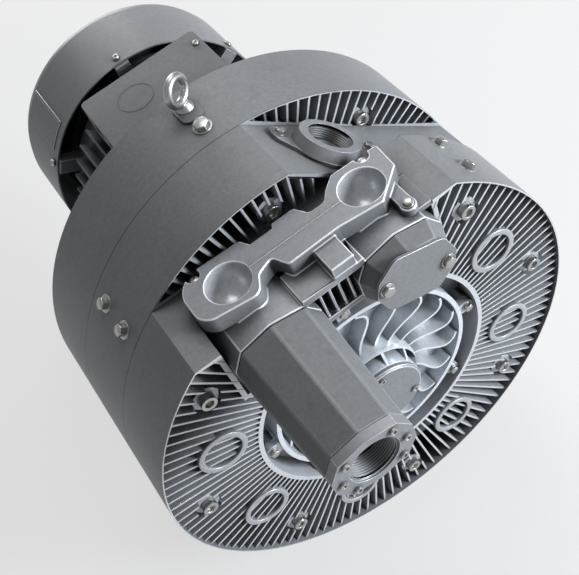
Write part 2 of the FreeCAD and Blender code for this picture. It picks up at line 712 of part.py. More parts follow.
def vane_wall(start):
    """One S-shaped vane: a thin wall along a smooth line from the hub to the hooked outer end."""
    inner = hub_shoulder.value - OVER
    outer = cover_radius.value - cover_wall.value - 3
    half = vane_thick.value / 2
    line = []
    for share, swing in VANE_STATIONS:
        reach = inner + (outer - inner) * share
        angle = math.radians(start + swing)
        line.append(Vector(reach * math.cos(angle), 0, reach * math.sin(angle)))
    spine = Part.BSplineCurve()
    spine.interpolate(line)
    sides = []
    for hand in (-1, 1):
        points = []
        for k in range(13):
            at = spine.FirstParameter + (spine.LastParameter - spine.FirstParameter) * k / 12
            along = spine.tangent(at)[0]
            across = Vector(along.z, 0, -along.x) * (half * hand)
            points.append(spine.value(at) + across)
        curve = Part.BSplineCurve()
        curve.interpolate(points)
        sides.append(curve.toShape())
    ends = [Part.makeLine(sides[0].Vertexes[k].Point, sides[1].Vertexes[k].Point) for k in (0, 1)]
    face = Part.Face(Part.Wire(Part.__sortEdges__(sides + ends)))
    wall = face.extrude(Vector(0, cover_floor.value + OVER - vane_front.value, 0))
    wall.translate(Vector(0, vane_front.value, 0))
    return wall


vanes = doc.addObject("Part::Feature", "cover_vanes")
vanes.Shape = Part.makeCompound([vane_wall(360 / vane_count.value * k + 5)
                                 for k in range(int(vane_count.value))])
cover = doc.addObject("Part::MultiFuse", "cover")
cover.Shapes = [dish, vanes]
settle(cover, "front_cover")

# Cap that closes the bearing hub.
cap = turned_body("hub_cap_turned", [
    (0, cap_seat - cap_thick), (cap_radius - 2, cap_seat - cap_thick),
    (cap_radius, cap_seat - cap_thick + 2), (cap_radius, cap_seat),
    (front_bearing_outer - slip * 2, cap_seat), (front_bearing_outer - slip * 2, cap_seat + cap_spigot),
    (0, cap_seat + cap_spigot)])
cap_spots = ring_spots(cap_radius - 8, 3, 90)
drill(cap, "hub_cap_holes", cap_spots, 2, cap_seat - cap_thick, 8)
settle(cap, "hub_cap")


def duct_corners(shift, level, share=1.0):
    """The ten-sided duct section: a low ridge on top, shoulders, and short upright sides."""
    points = [(0, duct_ridge), (duct_shoulder, duct_shoulder_rise), (duct_half, duct_side),
              (duct_half, -duct_side), (duct_shoulder, -duct_shoulder_rise), (0, -duct_ridge),
              (-duct_shoulder, -duct_shoulder_rise), (-duct_half, -duct_side),
              (-duct_half, duct_side), (-duct_shoulder, duct_shoulder_rise)]
    return [(shift + as_size(u) * share, level + as_size(v) * share) for u, v in points]


# Manifold: two ducts let into the front platform, joined by a lobed top plate with two round cups.
manifold = new_body("manifold_casting")
for side, name in ((-1, "left"), (1, "right")):
    duct = drawing_on(manifold, name + "_duct_sketch", "XZ_Plane", duct_front)
    outline(duct, duct_corners(side * port_offset, port_level))
    pad(manifold, name + "_duct", duct, duct_back - duct_front, True)
top = drawing_on(manifold, "top_plate_sketch", "XY_Plane", platform_level)
rounded(top, [
    (-plate_end, plate_front + 6, 17), (-plate_end + 56, plate_front - 3, 12), (-plate_end + 66, plate_waist - 4, 8),
    (-30, plate_waist + 2), (-22, plate_front + 5), (32, plate_front + 6), (76, plate_front), (plate_end - 4, plate_front + 26),
    (plate_end - 2, plate_back + 1, 2.5), (cup_offset - 12, plate_back + 3), (46, plate_back - 8, 3),
    (38, plate_back - 18, 6), (22, plate_back - 18, 6), (14, plate_back - 3, 3), (-10, plate_back - 3, 2),
    (-12, plate_back - 8, 1), (-36, plate_back - 8, 1), (-42, plate_back + 3), (-plate_end, plate_back + 6, 26)], 4)
plate_pad = pad(manifold, "top_plate", top, plate_thick)
bowls = drawing_on(manifold, "bowls_sketch", "XY_Plane", bowl_base)
for side in (-1, 1):
    circle(bowls, side * cup_offset, cup_place, bowl_radius)
pad(manifold, "bowls", bowls, platform_level - bowl_base + OVER)
bridge = drawing_on(manifold, "bridge_sketch", "XZ_Plane", duct_front)
outline(bridge, [(-port_offset + duct_shoulder, platform_level - bridge_thick),
                 (port_offset - duct_shoulder, platform_level - bridge_thick),
                 (port_offset - duct_shoulder, platform_level + 2), (-port_offset + duct_shoulder, platform_level + 2)])
pad(manifold, "bridge", bridge, bay_back - seat_gap - duct_front, True)
ledge = drawing_on(manifold, "ledge_sketch", "XZ_Plane", duct_front + 4)
outline(ledge, [(-port_offset + duct_half - 6, ledge_level - bridge_thick / 2),
                (port_offset - duct_half + 6, ledge_level - bridge_thick / 2),
                (port_offset - duct_half + 6, ledge_level + bridge_thick / 2),
                (-port_offset + duct_half - 6, ledge_level + bridge_thick / 2)])
pad(manifold, "ledge", ledge, bay_back - seat_gap - duct_front - 4, True)
ribs = drawing_on(manifold, "bridge_ribs_sketch", "XZ_Plane", duct_front + 6)
for k in range(4):
    low = (k - 1.5) * bay_half / 2 - rib_thick / 2
    outline(ribs, [(low, ledge_level), (low + rib_thick, ledge_level), (low + rib_thick, platform_level - OVER),
                   (low, platform_level - OVER)])
pad(manifold, "bridge_ribs", ribs, bay_back - seat_gap - duct_front - 6, True)
block = drawing_on(manifold, "bridge_block_sketch", "XZ_Plane", duct_front + 6)
outline(block, [(2, platform_level), (26, platform_level), (26, platform_level + plate_thick - 6),
                (2, platform_level + plate_thick - 6)])
pad(manifold, "bridge_block", block, plate_waist, True)
ears = drawing_on(manifold, "manifold_ears_sketch", "XY_Plane", platform_level)
for u, v in ((93, 6), (-93, plate_back + 1), (92, plate_back)):
    circle(ears, u, v, 8)
pad(manifold, "manifold_ears", ears, 9)
arm = drawing_on(manifold, "manifold_arm_sketch", "XY_Plane", platform_level)
outline(arm, [(86, 6), (100, 6), (100, plate_waist + 8), (86, plate_waist + 8)])
pad(manifold, "manifold_arm", arm, 9)
ear_holes = drawing_on(manifold, "manifold_ear_holes_sketch", "XY_Plane", platform_level + 9)
for u, v in ((93, 6), (-93, plate_back + 1), (92, plate_back)):
    circle(ear_holes, u, v, 3)
pocket(manifold, "manifold_ear_holes", ear_holes, 9)
head_seats = drawing_on(manifold, "manifold_head_seats_sketch", "XY_Plane", platform_level + plate_thick)
for u, v in ((93, 6), (-93, plate_back + 1), (92, plate_back)):
    circle(head_seats, u, v, 7)
pocket(manifold, "manifold_head_seats", head_seats, plate_thick - 9)
drill(manifold, "duct_bores", seat_spots, port_radius, duct_front, duct_back - duct_front)
cups = doc.addObject("Part::MultiFuse", "cups")
cup_list = []
for side, name in ((-1, "left"), (1, "right")):
    ball = doc.addObject("Part::Sphere", name + "_cup")
    give(ball, "Radius", cup_sphere)
    drop = root(cup_sphere * cup_sphere - cup_radius * cup_radius)
    ball.Placement = Placement(Vector(side * cup_offset.value, cup_place.value,
                                      platform_level.value + plate_thick.value - drop.value), Rotation())
    ball.setExpression("Placement.Base.x", (side * cup_offset).text)
    ball.setExpression("Placement.Base.y", cup_place.text)
    ball.setExpression("Placement.Base.z", (platform_level + plate_thick - drop).text)
    cup_list.append(ball)
cups.Shapes = cup_list
manifold_cut = doc.addObject("Part::Cut", "manifold_cut")
manifold_cut.Base = manifold
manifold_cut.Tool = cups
settle(manifold_cut, "manifold")


def lofted(label, name, shift, start, end, share):
    """A duct section drawn out to a smaller one further forward."""
    body = new_body(label)
    wide = drawing_on(body, name + "_wide_sketch", "XZ_Plane", start)
    outline(wide, duct_corners(shift, port_level))
    narrow = drawing_on(body, name + "_narrow_sketch", "XZ_Plane", end)
    outline(narrow, duct_corners(shift, port_level, share))
    loft = feature(body, "AdditiveLoft", name + "_loft", wide)
    loft.Sections = [narrow]
    loft.Ruled = True
    return body


# Silencer housing in front of the left duct, with its foam liner and threaded end piece.
gasket_thick = size("gasket_thick", 1)
silencer = lofted("silencer_shell", "silencer", -port_offset, duct_front - gasket_thick,
                  silencer_front, silencer_taper)
drill(silencer, "silencer_bore", [(-port_offset, port_level)], silencer_bore, silencer_front - OVER,
      silencer_length + 2 * OVER)
settle(silencer, "silencer_housing")

end_front = silencer_front - end_thick
end_piece = new_body("silencer_end_piece")
end_plate = drawing_on(end_piece, "end_plate_sketch", "XZ_Plane", end_front)
outline(end_plate, duct_corners(-port_offset, port_level, silencer_taper))
pad(end_piece, "end_plate", end_plate, end_thick, True)
end_spots = [(-port_offset + end_bolt_reach * cosine(angle), port_level + end_bolt_reach * sine(angle))
             for angle in (0, 43, 137, 180, 223, 317)]
nozzle = drawing_on(end_piece, "port_collar_sketch", "XZ_Plane", silencer_front)
circle(nozzle, -port_offset, port_level, silencer_bore - slip * 4)
pad(end_piece, "port_collar", nozzle, thread_length - end_thick, True)
drill(end_piece, "port_bore", [(-port_offset, port_level)], port_radius, end_front, thread_length)
mouth = drawing_on(end_piece, "port_mouth_sketch", "XZ_Plane", end_front)
circle(mouth, -port_offset, port_level, port_mouth)
mouth_cut = pocket(end_piece, "port_mouth", mouth, 2)
drill(end_piece, "end_holes", end_spots, 2, end_front, end_thick)
settle(end_piece, "silencer_end_flange")

liner_front = silencer_front + thread_length - end_thick + OVER
liner = new_body("liner")
foam = drawing_on(liner, "liner_sketch", "XZ_Plane", liner_front)
circle(foam, -port_offset, port_level, silencer_bore - slip * 4)
circle(foam, -port_offset, port_level, liner_inner)
pad(liner, "liner_tube", foam, duct_front - gasket_thick - liner_front, True)
settle(liner, "silencer_liner")

# Short neck on the right duct, blanked by a tilted oval plate.
neck_front = duct_front - neck_length
neck = lofted("neck_shell", "neck", port_offset, duct_front - gasket_thick, neck_front, 0.82)
drill(neck, "neck_bore", [(port_offset, port_level)], port_radius, neck_front + 4, neck_length)
settle(neck, "blanked_neck")

plate = new_body("neck_cover_plate")
oval = drawing_on(plate, "neck_cover_sketch", "XZ_Plane", neck_front, cover_tilt)
plate_u = port_offset * cosine(cover_tilt) - port_level * sine(cover_tilt)
plate_v = port_offset * sine(cover_tilt) + port_level * cosine(cover_tilt)
rounded(oval, [
    (plate_u - cover_bolt_reach - 9, plate_v - 9, 8), (plate_u - 26, plate_v - 31), (plate_u + 26, plate_v - 31),
    (plate_u + cover_bolt_reach + 9, plate_v - 9, 8), (plate_u + cover_bolt_reach + 9, plate_v + 9, 8),
    (plate_u + 26, plate_v + 31), (plate_u - 26, plate_v + 31), (plate_u - cover_bolt_reach - 9, plate_v + 9, 8)], 12)
pad(plate, "neck_cover_pad", oval, cover_plate_thick)
cover_spots = [(plate_u - cover_bolt_reach, plate_v), (plate_u + cover_bolt_reach, plate_v)]
drill(plate, "neck_cover_holes", cover_spots, 3, neck_front - cover_plate_thick, cover_plate_thick, cover_tilt)
settle(plate, "neck_cover")

gaskets = new_body("gaskets_pair")
sheet_cut = drawing_on(gaskets, "duct_gasket_sketch", "XZ_Plane", duct_front)
for side in (-1, 1):
    outline(sheet_cut, duct_corners(side * port_offset, port_level, 0.97))
    circle(sheet_cut, side * port_offset, port_level, port_radius)
pad(gaskets, "duct_gasket", sheet_cut, gasket_thick)
settle(gaskets, "duct_gaskets")

# Side port on the tilted platform: oval foot plate, conical boss and a threaded bore.
side_port = new_body("side_port_piece")
place_y = middle_front + side_port_place
foot_plate = drawing_on(side_port, "side_plate_sketch", "YZ_Plane", tilted_level, 90 - tilt)
rounded(foot_plate, [
    (place_y - 16, side_port_shift - side_bolt_near - 9, 9), (place_y + 6, side_port_shift - side_bolt_near - 9, 9),
    (place_y + 37, side_port_shift - 20), (place_y + 38, side_port_shift + 12),
    (place_y + 35, side_port_shift + side_bolt_far + 8, 8), (place_y + 14, side_port_shift + side_bolt_far + 8, 8),
    (place_y - 35, side_port_shift + 18), (place_y - 36, side_port_shift - 20)], 14)
pad(side_port, "side_plate", foot_plate, side_flange_thick)
boss_foot = drawing_on(side_port, "boss_foot_sketch", "YZ_Plane", tilted_level + side_flange_thick - OVER, 90 - tilt)
circle(boss_foot, place_y, side_port_shift, side_port_foot)
boss_head = drawing_on(side_port, "boss_head_sketch", "YZ_Plane", tilted_level + side_port_height, 90 - tilt)
circle(boss_head, place_y, side_port_shift, side_port_outer)
boss = feature(side_port, "AdditiveLoft", "side_boss", boss_foot)
boss.Sections = [boss_head]
side_bore = drawing_on(side_port, "side_bore_sketch", "YZ_Plane", tilted_level + side_port_height + OVER, 90 - tilt)
circle(side_bore, place_y, side_port_shift, port_radius)
pocket(side_port, "side_bore", side_bore, side_port_height + 2 * OVER)
side_spots = [(place_y - 5, side_port_shift - side_bolt_near), (place_y + 24, side_port_shift + side_bolt_far)]
side_holes = drawing_on(side_port, "side_holes_sketch", "YZ_Plane", tilted_level + side_flange_thick, 90 - tilt)
for u, v in side_spots:
    circle(side_holes, u, v, 3)
pocket(side_port, "side_holes", side_holes, side_flange_thick)
settle(side_port, "side_port_flange")

# Rotor: shaft, impellers, sleeves, nut and keys turn together.
shoulder_place = drive_bearing_place - 7
tail_end = tail_bearing_place + motor_bearing_width
rotor_shaft = turned_body("rotor_shaft_turned", [
    (0, shaft_front), (front_journal, shaft_front), (front_journal, bearing_stop),
    (impeller_seat, bearing_stop), (impeller_seat, shoulder_place), (motor_journal, shoulder_place),
    (motor_journal, drive_bearing_place + motor_bearing_width),
    (rotor_seat, drive_bearing_place + motor_bearing_width), (rotor_seat, tail_bearing_place),
    (motor_journal, tail_bearing_place), (motor_journal, tail_end), (fan_seat, tail_end),
    (fan_seat, shaft_length), (0, shaft_length)])
for number, middle_place in enumerate((front_depth, rear_front)):
    keyway = drawing_on(rotor_shaft, "keyway_%d_sketch" % number, "XY_Plane", impeller_seat + OVER)
    outline(keyway, [(-key_width / 2, middle_place - half_wheel + 1), (key_width / 2, middle_place - half_wheel + 1),
                     (key_width / 2, middle_place + half_wheel - 1), (-key_width / 2, middle_place + half_wheel - 1)])
    pocket(rotor_shaft, "keyway_%d" % number, keyway, key_height / 2 + OVER)
settle(rotor_shaft, "rotor_shaft")

keys = new_body("key_pair")
key_sketch = drawing_on(keys, "key_sketch", "XY_Plane", impeller_seat - key_height / 2)
for middle_place in (front_depth, rear_front):
    outline(key_sketch, [(-key_width / 2, middle_place - half_wheel + 1), (key_width / 2, middle_place - half_wheel + 1),
                         (key_width / 2, middle_place + half_wheel - 1), (-key_width / 2, middle_place + half_wheel - 1)])
pad(keys, "key_bars", key_sketch, key_height)
settle(keys, "impeller_keys")


def impeller(label, place):
    """A disc with a hub, a rim and straight radial blades, split by a thin web between its two sides."""
    wheel = turned_body(label + "_wheel", [
        (impeller_seat + slip, place - half_wheel), (impeller_hub, place - half_wheel),
        (impeller_hub, place - disc_thick / 2), (blade_root - rim_thick, place - disc_thick / 2),
        (blade_root - rim_thick, place - half_wheel), (blade_root, place - half_wheel),
        (blade_root, place - blade_thick / 2), (impeller_radius - OVER, place - blade_thick / 2),
        (impeller_radius - OVER, place + blade_thick / 2), (blade_root, place + blade_thick / 2),
        (blade_root, place + half_wheel), (blade_root - rim_thick, place + half_wheel),
        (blade_root - rim_thick, place + disc_thick / 2), (impeller_hub, place + disc_thick / 2),
        (impeller_hub, place + half_wheel), (impeller_seat + slip, place + half_wheel)])
    blade = drawing_on(wheel, label + "_blade_sketch", "XY_Plane")
    outline(blade, ring_corners(blade_root - OVER, impeller_radius, place - half_wheel, place + half_wheel))
    blade_pad = pad(wheel, label + "_blade", blade, blade_thick, both=True)
    around(wheel, label + "_blades", [blade_pad], blade_count)
    key_seat = drawing_on(wheel, label + "_key_seat_sketch", "XZ_Plane", place - half_wheel)
    outline(key_seat, [(-key_width / 2, 0), (key_width / 2, 0),
                       (key_width / 2, impeller_seat + key_height / 2), (-key_width / 2, impeller_seat + key_height / 2)])
    pocket(wheel, label + "_key_seat", key_seat, impeller_width)
    return settle(wheel, label)


impeller("front_impeller", front_depth)
impeller("rear_impeller", rear_front)

sleeves = turned_body("sleeve_set", ring_corners(impeller_seat + slip, sleeve_radius,
                                                 front_depth + half_wheel, rear_front - half_wheel))
settle(sleeves, "impeller_spacer")
settle(turned_body("front_sleeve_turned", ring_corners(
    impeller_seat + slip, sleeve_radius - 1, web_front + OVER, front_depth - half_wheel)), "front_sleeve")
settle(turned_body("rear_sleeve_turned", ring_corners(
    impeller_seat + slip, sleeve_radius, rear_front + half_wheel, shoulder_place)), "rear_sleeve")
settle(turned_body("lock_nut_turned", ring_corners(
    front_journal + slip, front_journal + 8, shaft_front + 2, front_bearing_place)), "lock_nut")
settle(turned_body("shaft_seal_turned", ring_corners(
    sleeve_radius - 1 + slip * 2, shaft_opening, web_front + 2, first_face - 2)), "shaft_seal")


def ring_set(label, rings):
    """Plain rings of one kind, one behind the other on the rotor axis."""
    body = new_body(label + "_rings")
    section = drawing_on(body, label + "_section", "XY_Plane")
    for inner, outer, start, length in rings:
        outline(section, ring_corners(inner, outer, start, start + length))
    revolve(body, label + "_turned", section)
    return settle(body, label)


small_race = 4.6
large_race = 6
front_race_in = front_journal + small_race
front_race_out = front_bearing_outer - small_race
motor_race_in = motor_journal + large_race
motor_race_out = motor_bearing_outer - large_race
ring_set("bearing_outer_rings", [
    (front_race_out, front_bearing_outer, front_bearing_place, front_bearing_width),
    (motor_race_out, motor_bearing_outer, drive_bearing_place, motor_bearing_width),
    (motor_race_out, motor_bearing_outer, tail_bearing_place, motor_bearing_width)])
ring_set("bearing_inner_rings", [
    (front_journal, front_race_in, front_bearing_place, front_bearing_width),
    (motor_journal, motor_race_in, drive_bearing_place, motor_bearing_width),
    (motor_journal, motor_race_in, tail_bearing_place, motor_bearing_width)])
balls = doc.addObject("Part::Feature", "ball_sets")
ball_shapes = []
for low, high, place, width in ((front_race_in, front_race_out, front_bearing_place, front_bearing_width),
                                (motor_race_in, motor_race_out, drive_bearing_place, motor_bearing_width),
                                (motor_race_in, motor_race_out, tail_bearing_place, motor_bearing_width)):
    radius = (high.value - low.value) / 2 - slip.value
    pitch = (high.value + low.value) / 2
    for k in range(7):
        angle = 2 * math.pi * k / 7
        spot = Vector(pitch * math.cos(angle), place.value + width.value / 2, pitch * math.sin(angle))
        ball_shapes.append(Part.makeSphere(radius, spot))
balls.Shape = Part.makeCompound(ball_shapes)
settle(balls, "bearing_balls")

# Motor frame with its axial cooling fins, active parts, end shield, fan and cowl.
frame = turned_body("motor_frame_tube", [
    (frame_inner - 2.2, drum_back - 7), (frame_inner - 2.2 - 6, drum_back - 7),
    (frame_inner - 2.2 - 6, drum_back + 6), (frame_inner, drum_back + 6), (frame_inner, frame_end),
    (frame_outer, frame_end), (frame_outer, drum_back + frame_flange_thick),
    (frame_flange_radius, drum_back + frame_flange_thick), (frame_flange_radius, drum_back),
    (frame_inner - 2.2, drum_back)])
frame_fin = drawing_on(frame, "frame_fin_sketch", "XY_Plane")
outline(frame_fin, [(frame_outer - OVER, drum_back + frame_flange_thick + 4),
                    (frame_fin_radius, drum_back + frame_flange_thick + 12),
                    (frame_fin_radius, frame_end - 2), (frame_outer - OVER, frame_end - 2)])
frame_fin_pad = pad(frame, "frame_fin", frame_fin, frame_fin_thick, both=True)
around(frame, "frame_fins", [frame_fin_pad], frame_fin_count)
box_seat = drawing_on(frame, "box_seat_sketch", "XY_Plane", box_base)
outline(box_seat, [(box_shift - box_half, box_front), (box_shift + box_half, box_front),
                   (box_shift + box_half, box_front + box_length), (box_shift - box_half, box_front + box_length)])
pocket(frame, "box_seat", box_seat, 60, True)
drill(frame, "frame_flange_holes", ring_spots((frame_flange_radius + frame_inner) / 2, 8, 22.5), 4.4, drum_back,
      frame_flange_thick)
settle(frame, "motor_frame")

settle(turned_body("stator_core_turned", ring_corners(core_inner, frame_inner - slip, core_start, core_end)),
       "stator_core")
settle(turned_body("rotor_core_turned", ring_corners(rotor_seat, core_inner - air_gap, core_start, core_end)),
       "rotor_core")
ring_set("stator_windings", [
    (core_inner + 5, frame_inner - 8, core_start - winding_reach, winding_reach),
    (core_inner + 5, frame_inner - 8, core_end, winding_reach)])

shield = turned_body("end_shield_turned", [
    (rotor_seat + 3, frame_end - 6), (motor_bearing_outer + slip + 8, frame_end - 6),
    (motor_bearing_outer + slip + 8, frame_end + 8), (frame_outer, frame_end), (frame_outer, frame_end + shield_thick),
    (motor_bearing_outer + slip, frame_end + shield_thick), (motor_bearing_outer + slip, frame_end),
    (rotor_seat + 3, frame_end)])
shield_lug = drawing_on(shield, "shield_lug_sketch", "XZ_Plane", frame_end + 8, 30)
outline(shield_lug, [(frame_outer - 4, -9), (cowl_radius - cowl_wall, -9), (cowl_radius - cowl_wall, 9),
                     (frame_outer - 4, 9)])
shield_lug_pad = pad(shield, "shield_lug", shield_lug, shield_thick - 8, True)
around(shield, "shield_lugs", [shield_lug_pad], cowl_lug_count)
round_cut = drawing_on(shield, "shield_trim_sketch", "XZ_Plane", frame_end - 8)
circle(round_cut, 0, 0, cowl_radius + 30)
circle(round_cut, 0, 0, cowl_radius - cowl_wall - slip)
pocket(shield, "shield_trim", round_cut, shield_thick + 10)
settle(shield, "motor_end_shield")

fan = turned_body("fan_turned", [
    (fan_seat + slip, fan_place - 10), (fan_seat + 14, fan_place - 10), (fan_seat + 14, fan_place),
    (fan_radius - 10, fan_place), (fan_radius - 10, fan_place + 4), (fan_seat + 14, fan_place + 4),
    (fan_seat + 14, fan_place + fan_width), (fan_seat + slip, fan_place + fan_width)])
fan_blade = drawing_on(fan, "fan_blade_sketch", "XY_Plane")
outline(fan_blade, [(fan_seat + 13, fan_place + 2), (fan_radius, fan_place + 2), (fan_radius, fan_place + fan_width - 4),
                    (fan_seat + 30, fan_place + fan_width - 4), (fan_seat + 13, fan_place + fan_width / 2)])
fan_blade_pad = pad(fan, "fan_blade", fan_blade, 4, both=True)
around(fan, "fan_blades", [fan_blade_pad], fan_blade_count)
settle(fan, "cooling_fan")

cowl = turned_body("cowl_shell", [
    (cowl_radius - cowl_wall, cowl_front), (cowl_radius, cowl_front), (cowl_radius, cowl_back - cowl_corner),
    (cowl_radius - cowl_corner * 0.08, cowl_back - cowl_corner * 0.6),
    (cowl_radius - cowl_corner * 0.3, cowl_back - cowl_corner * 0.3),
    (cowl_radius - cowl_corner * 0.6, cowl_back - cowl_corner * 0.08),
    (cowl_radius - cowl_corner, cowl_back), (0, cowl_back), (0, cowl_back - cowl_wall),
    (cowl_radius - cowl_corner, cowl_back - cowl_wall),
    (cowl_radius - cowl_wall - cowl_corner * 0.54, cowl_back - cowl_wall - cowl_corner * 0.06),
    (cowl_radius - cowl_wall - cowl_corner * 0.26, cowl_back - cowl_wall - cowl_corner * 0.27),
    (cowl_radius - cowl_wall - cowl_corner * 0.07, cowl_back - cowl_wall - cowl_corner * 0.55),
    (cowl_radius - cowl_wall, cowl_back - cowl_wall - cowl_corner * 0.9)])
for number, (inner, outer, share, start) in enumerate(((34, 62, 0.05, 0), (70, 92, 0.04, 7.5), (100, 118, 0.03, 0))):
    slot = drawing_on(cowl, "grille_%d_sketch" % number, "XZ_Plane", cowl_back - cowl_wall - OVER, start)
    outline(slot, [(inner, -inner * share - 2), (outer, -outer * share - 2), (outer, outer * share + 2),
                   (inner, inner * share + 2)])
    slot_cut = pocket(cowl, "grille_%d" % number, slot, cowl_wall + 2 * OVER)
    around(cowl, "grille_slots_%d" % number, [slot_cut], 24)
cowl_hole = drawing_on(cowl, "cowl_hole_sketch", "YZ_Plane", cowl_radius + OVER, 30)
circle(cowl_hole, frame_end + 22, 0, 2.4)
around(cowl, "cowl_holes", [pocket(cowl, "cowl_hole", cowl_hole, 3)], cowl_lug_count)
settle(cowl, "fan_cowl")

# Terminal box on top of the motor.
box = new_body("terminal_box_shell")
shell = drawing_on(box, "box_sketch", "XY_Plane", box_base)
rounded(shell, [(box_shift - box_half, box_front), (box_shift + box_half, box_front),
                (box_shift + box_half, box_front + box_length), (box_shift - box_half, box_front + box_length)], 7)
pad(box, "box_block", shell, box_top - box_base)
hollow = drawing_on(box, "box_hollow_sketch", "XY_Plane", box_top)
outline(hollow, [(box_shift - box_half + box_wall * 2, box_front + box_wall), (box_shift + box_half - box_wall * 2, box_front + box_wall),
                 (box_shift + box_half - box_wall * 2, box_front + box_length - box_wall),
                 (box_shift - box_half + box_wall * 2, box_front + box_length - box_wall)])
pocket(box, "box_hollow", hollow, box_top - box_base - 8)
niches = drawing_on(box, "box_niches_sketch", "YZ_Plane", box_half - box_shift + OVER, 180)
for k in range(3):
    low = box_front + 14 + 42 * k
    outline(niches, [(low, -box_top + 5), (low + 30, -box_top + 5), (low + 30, -box_base - 6), (low, -box_base - 6)])
pocket(box, "box_niches", niches, 4.5)
settle(box, "terminal_box")

lid = new_body("lid_plate")
lid_sketch = drawing_on(lid, "lid_sketch", "XY_Plane", box_top)
rounded(lid_sketch, [(box_shift - box_half, box_front), (box_shift + box_half, box_front),
                     (box_shift + box_half, box_front + box_length), (box_shift - box_half, box_front + box_length)], 7)
pad(lid, "lid_pad", lid_sketch, lid_thick)
knock_out = drawing_on(lid, "knock_out_sketch", "XY_Plane", box_top + lid_thick - OVER)
circle(knock_out, box_shift - 24, box_front + box_length * 0.68, 22)
circle(knock_out, box_shift - 24, box_front + box_length * 0.68, 21)
pad(lid, "knock_out", knock_out, OVER + 0.4)
lid_spots = [(box_shift + box_half - 8, box_front + box_length / 2 + j * (box_length / 2 - 26)) for j in (-1, 1)]
lid_holes = drawing_on(lid, "lid_holes_sketch", "XY_Plane", box_top + lid_thick)
for u, v in lid_spots:
    circle(lid_holes, u, v, 2.4)
pocket(lid, "lid_holes", lid_holes, lid_thick)
settle(lid, "terminal_box_lid")

# Feet: a long shoe on each side with an ear screwed to the back of the drum.
ground = -shaft_height
shoe_top = ground + foot_thick
for side, name in ((-1, "left_foot"), (1, "right_foot")):
    foot = new_body(name + "_casting")
    shoe = drawing_on(foot, name + "_shoe_sketch", "XY_Plane", ground)
    rounded(shoe, [(side * (foot_spread - foot_half), foot_start), (side * (foot_spread + foot_half), foot_start),
                   (side * (foot_spread + foot_half), foot_end), (side * (foot_spread - foot_half), foot_end)], 14)
    pad(foot, name + "_shoe", shoe, foot_thick)
    ear = drawing_on(foot, name + "_ear_sketch", "XZ_Plane", drum_back)
    rounded(ear, [(side * (foot_spread - foot_web / 2), shoe_top - OVER), (side * (foot_spread + foot_web / 2), shoe_top - OVER),
                  (side * (foot_spread + foot_web / 2), -foot_ear_top - 8), (side * (foot_spread + 8), -foot_ear_top + 4),
                  (side * (foot_spread - 8), -foot_ear_top + 4), (side * (foot_spread - foot_web / 2), -foot_ear_top - 8)], 3)
    pad(foot, name + "_ear", ear, foot_thick, True)
    gusset = drawing_on(foot, name + "_gusset_sketch", "YZ_Plane", side * foot_spread)
    outline(gusset, [(drum_back + foot_thick - OVER, shoe_top - OVER), (foot_end - 30, shoe_top - OVER),
                     (drum_back + foot_thick - OVER, -foot_ear_top - 40)])
    pad(foot, name + "_gusset", gusset, 10, both=True)
    saddle = drawing_on(foot, name + "_saddle_sketch", "XZ_Plane", foot_start + 30)
    outline(saddle, [(side * (foot_spread - foot_web / 2), shoe_top - OVER), (side * (foot_spread + foot_web / 2), shoe_top - OVER),
                     (side * (foot_spread + foot_web / 2), -foot_ear_top - 10), (side * (foot_spread - foot_web / 2), -foot_ear_top - 10)])
    pad(foot, name + "_saddle", saddle, 30, True)
    drum_cut = drawing_on(foot, name + "_drum_cut_sketch", "XZ_Plane", foot_start - OVER)
    circle(drum_cut, 0, 0, drum_radius)
    pocket(foot, name + "_drum_cut", drum_cut, drum_back - foot_start + OVER)
    holes = drawing_on(foot, name + "_holes_sketch", "XY_Plane", shoe_top)
    circle(holes, side * foot_spread, front_reach - foot_hole_reach, foot_hole)
    circle(holes, side * foot_spread, front_reach + foot_hole_reach, foot_hole)
    pocket(foot, name + "_holes", holes, foot_thick)
    drill(foot, name + "_ear_hole", [(side * foot_spread, -foot_ear_top - 16)], BOLT_HOLE, drum_back, foot_thick)
    settle(foot, name)

# Lifting eye screwed into the top of the rear casing.
eye_ring = doc.addObject("Part::Torus", "eye_ring")
give(eye_ring, "Radius1", eye_radius)
give(eye_ring, "Radius2", eye_wire)
eye_height = drum_radius + eye_pad + eye_collar_height + eye_radius + eye_wire - 3
eye_ring.Placement = Placement(Vector(0, eye_place.value, eye_height.value),
                               Rotation(Vector(0, 0, 1), eye_turn.value) * Rotation(Vector(1, 0, 0), 90))
eye_ring.setExpression("Placement.Base.y", eye_place.text)
eye_ring.setExpression("Placement.Base.z", eye_height.text)
eye_disc = doc.addObject("Part::Cone", "eye_collar")
give(eye_disc, "Radius1", eye_collar)
give(eye_disc, "Radius2", eye_collar - 4)
give(eye_disc, "Height", eye_collar_height)
eye_disc.Placement = Placement(Vector(0, eye_place.value, (drum_radius + eye_pad).value), Rotation())
eye_disc.setExpression("Placement.Base.y", eye_place.text)
eye_disc.setExpression("Placement.Base.z", (drum_radius + eye_pad).text)
eye_stem = doc.addObject("Part::Cylinder", "eye_stem")
eye_stem.Radius = BOLT_SHANK
eye_stem.Height = 25
eye_stem.Placement = Placement(Vector(0, eye_place.value, drum_radius.value - 20), Rotation())
eye_stem.setExpression("Placement.Base.y", eye_place.text)
eye_stem.setExpression("Placement.Base.z", (drum_radius - 20).text)
eye_bolt = doc.addObject("Part::MultiFuse", "eye_bolt")
eye_bolt.Shapes = [eye_ring, eye_disc, eye_stem]
settle(eye_bolt, "lifting_eye")


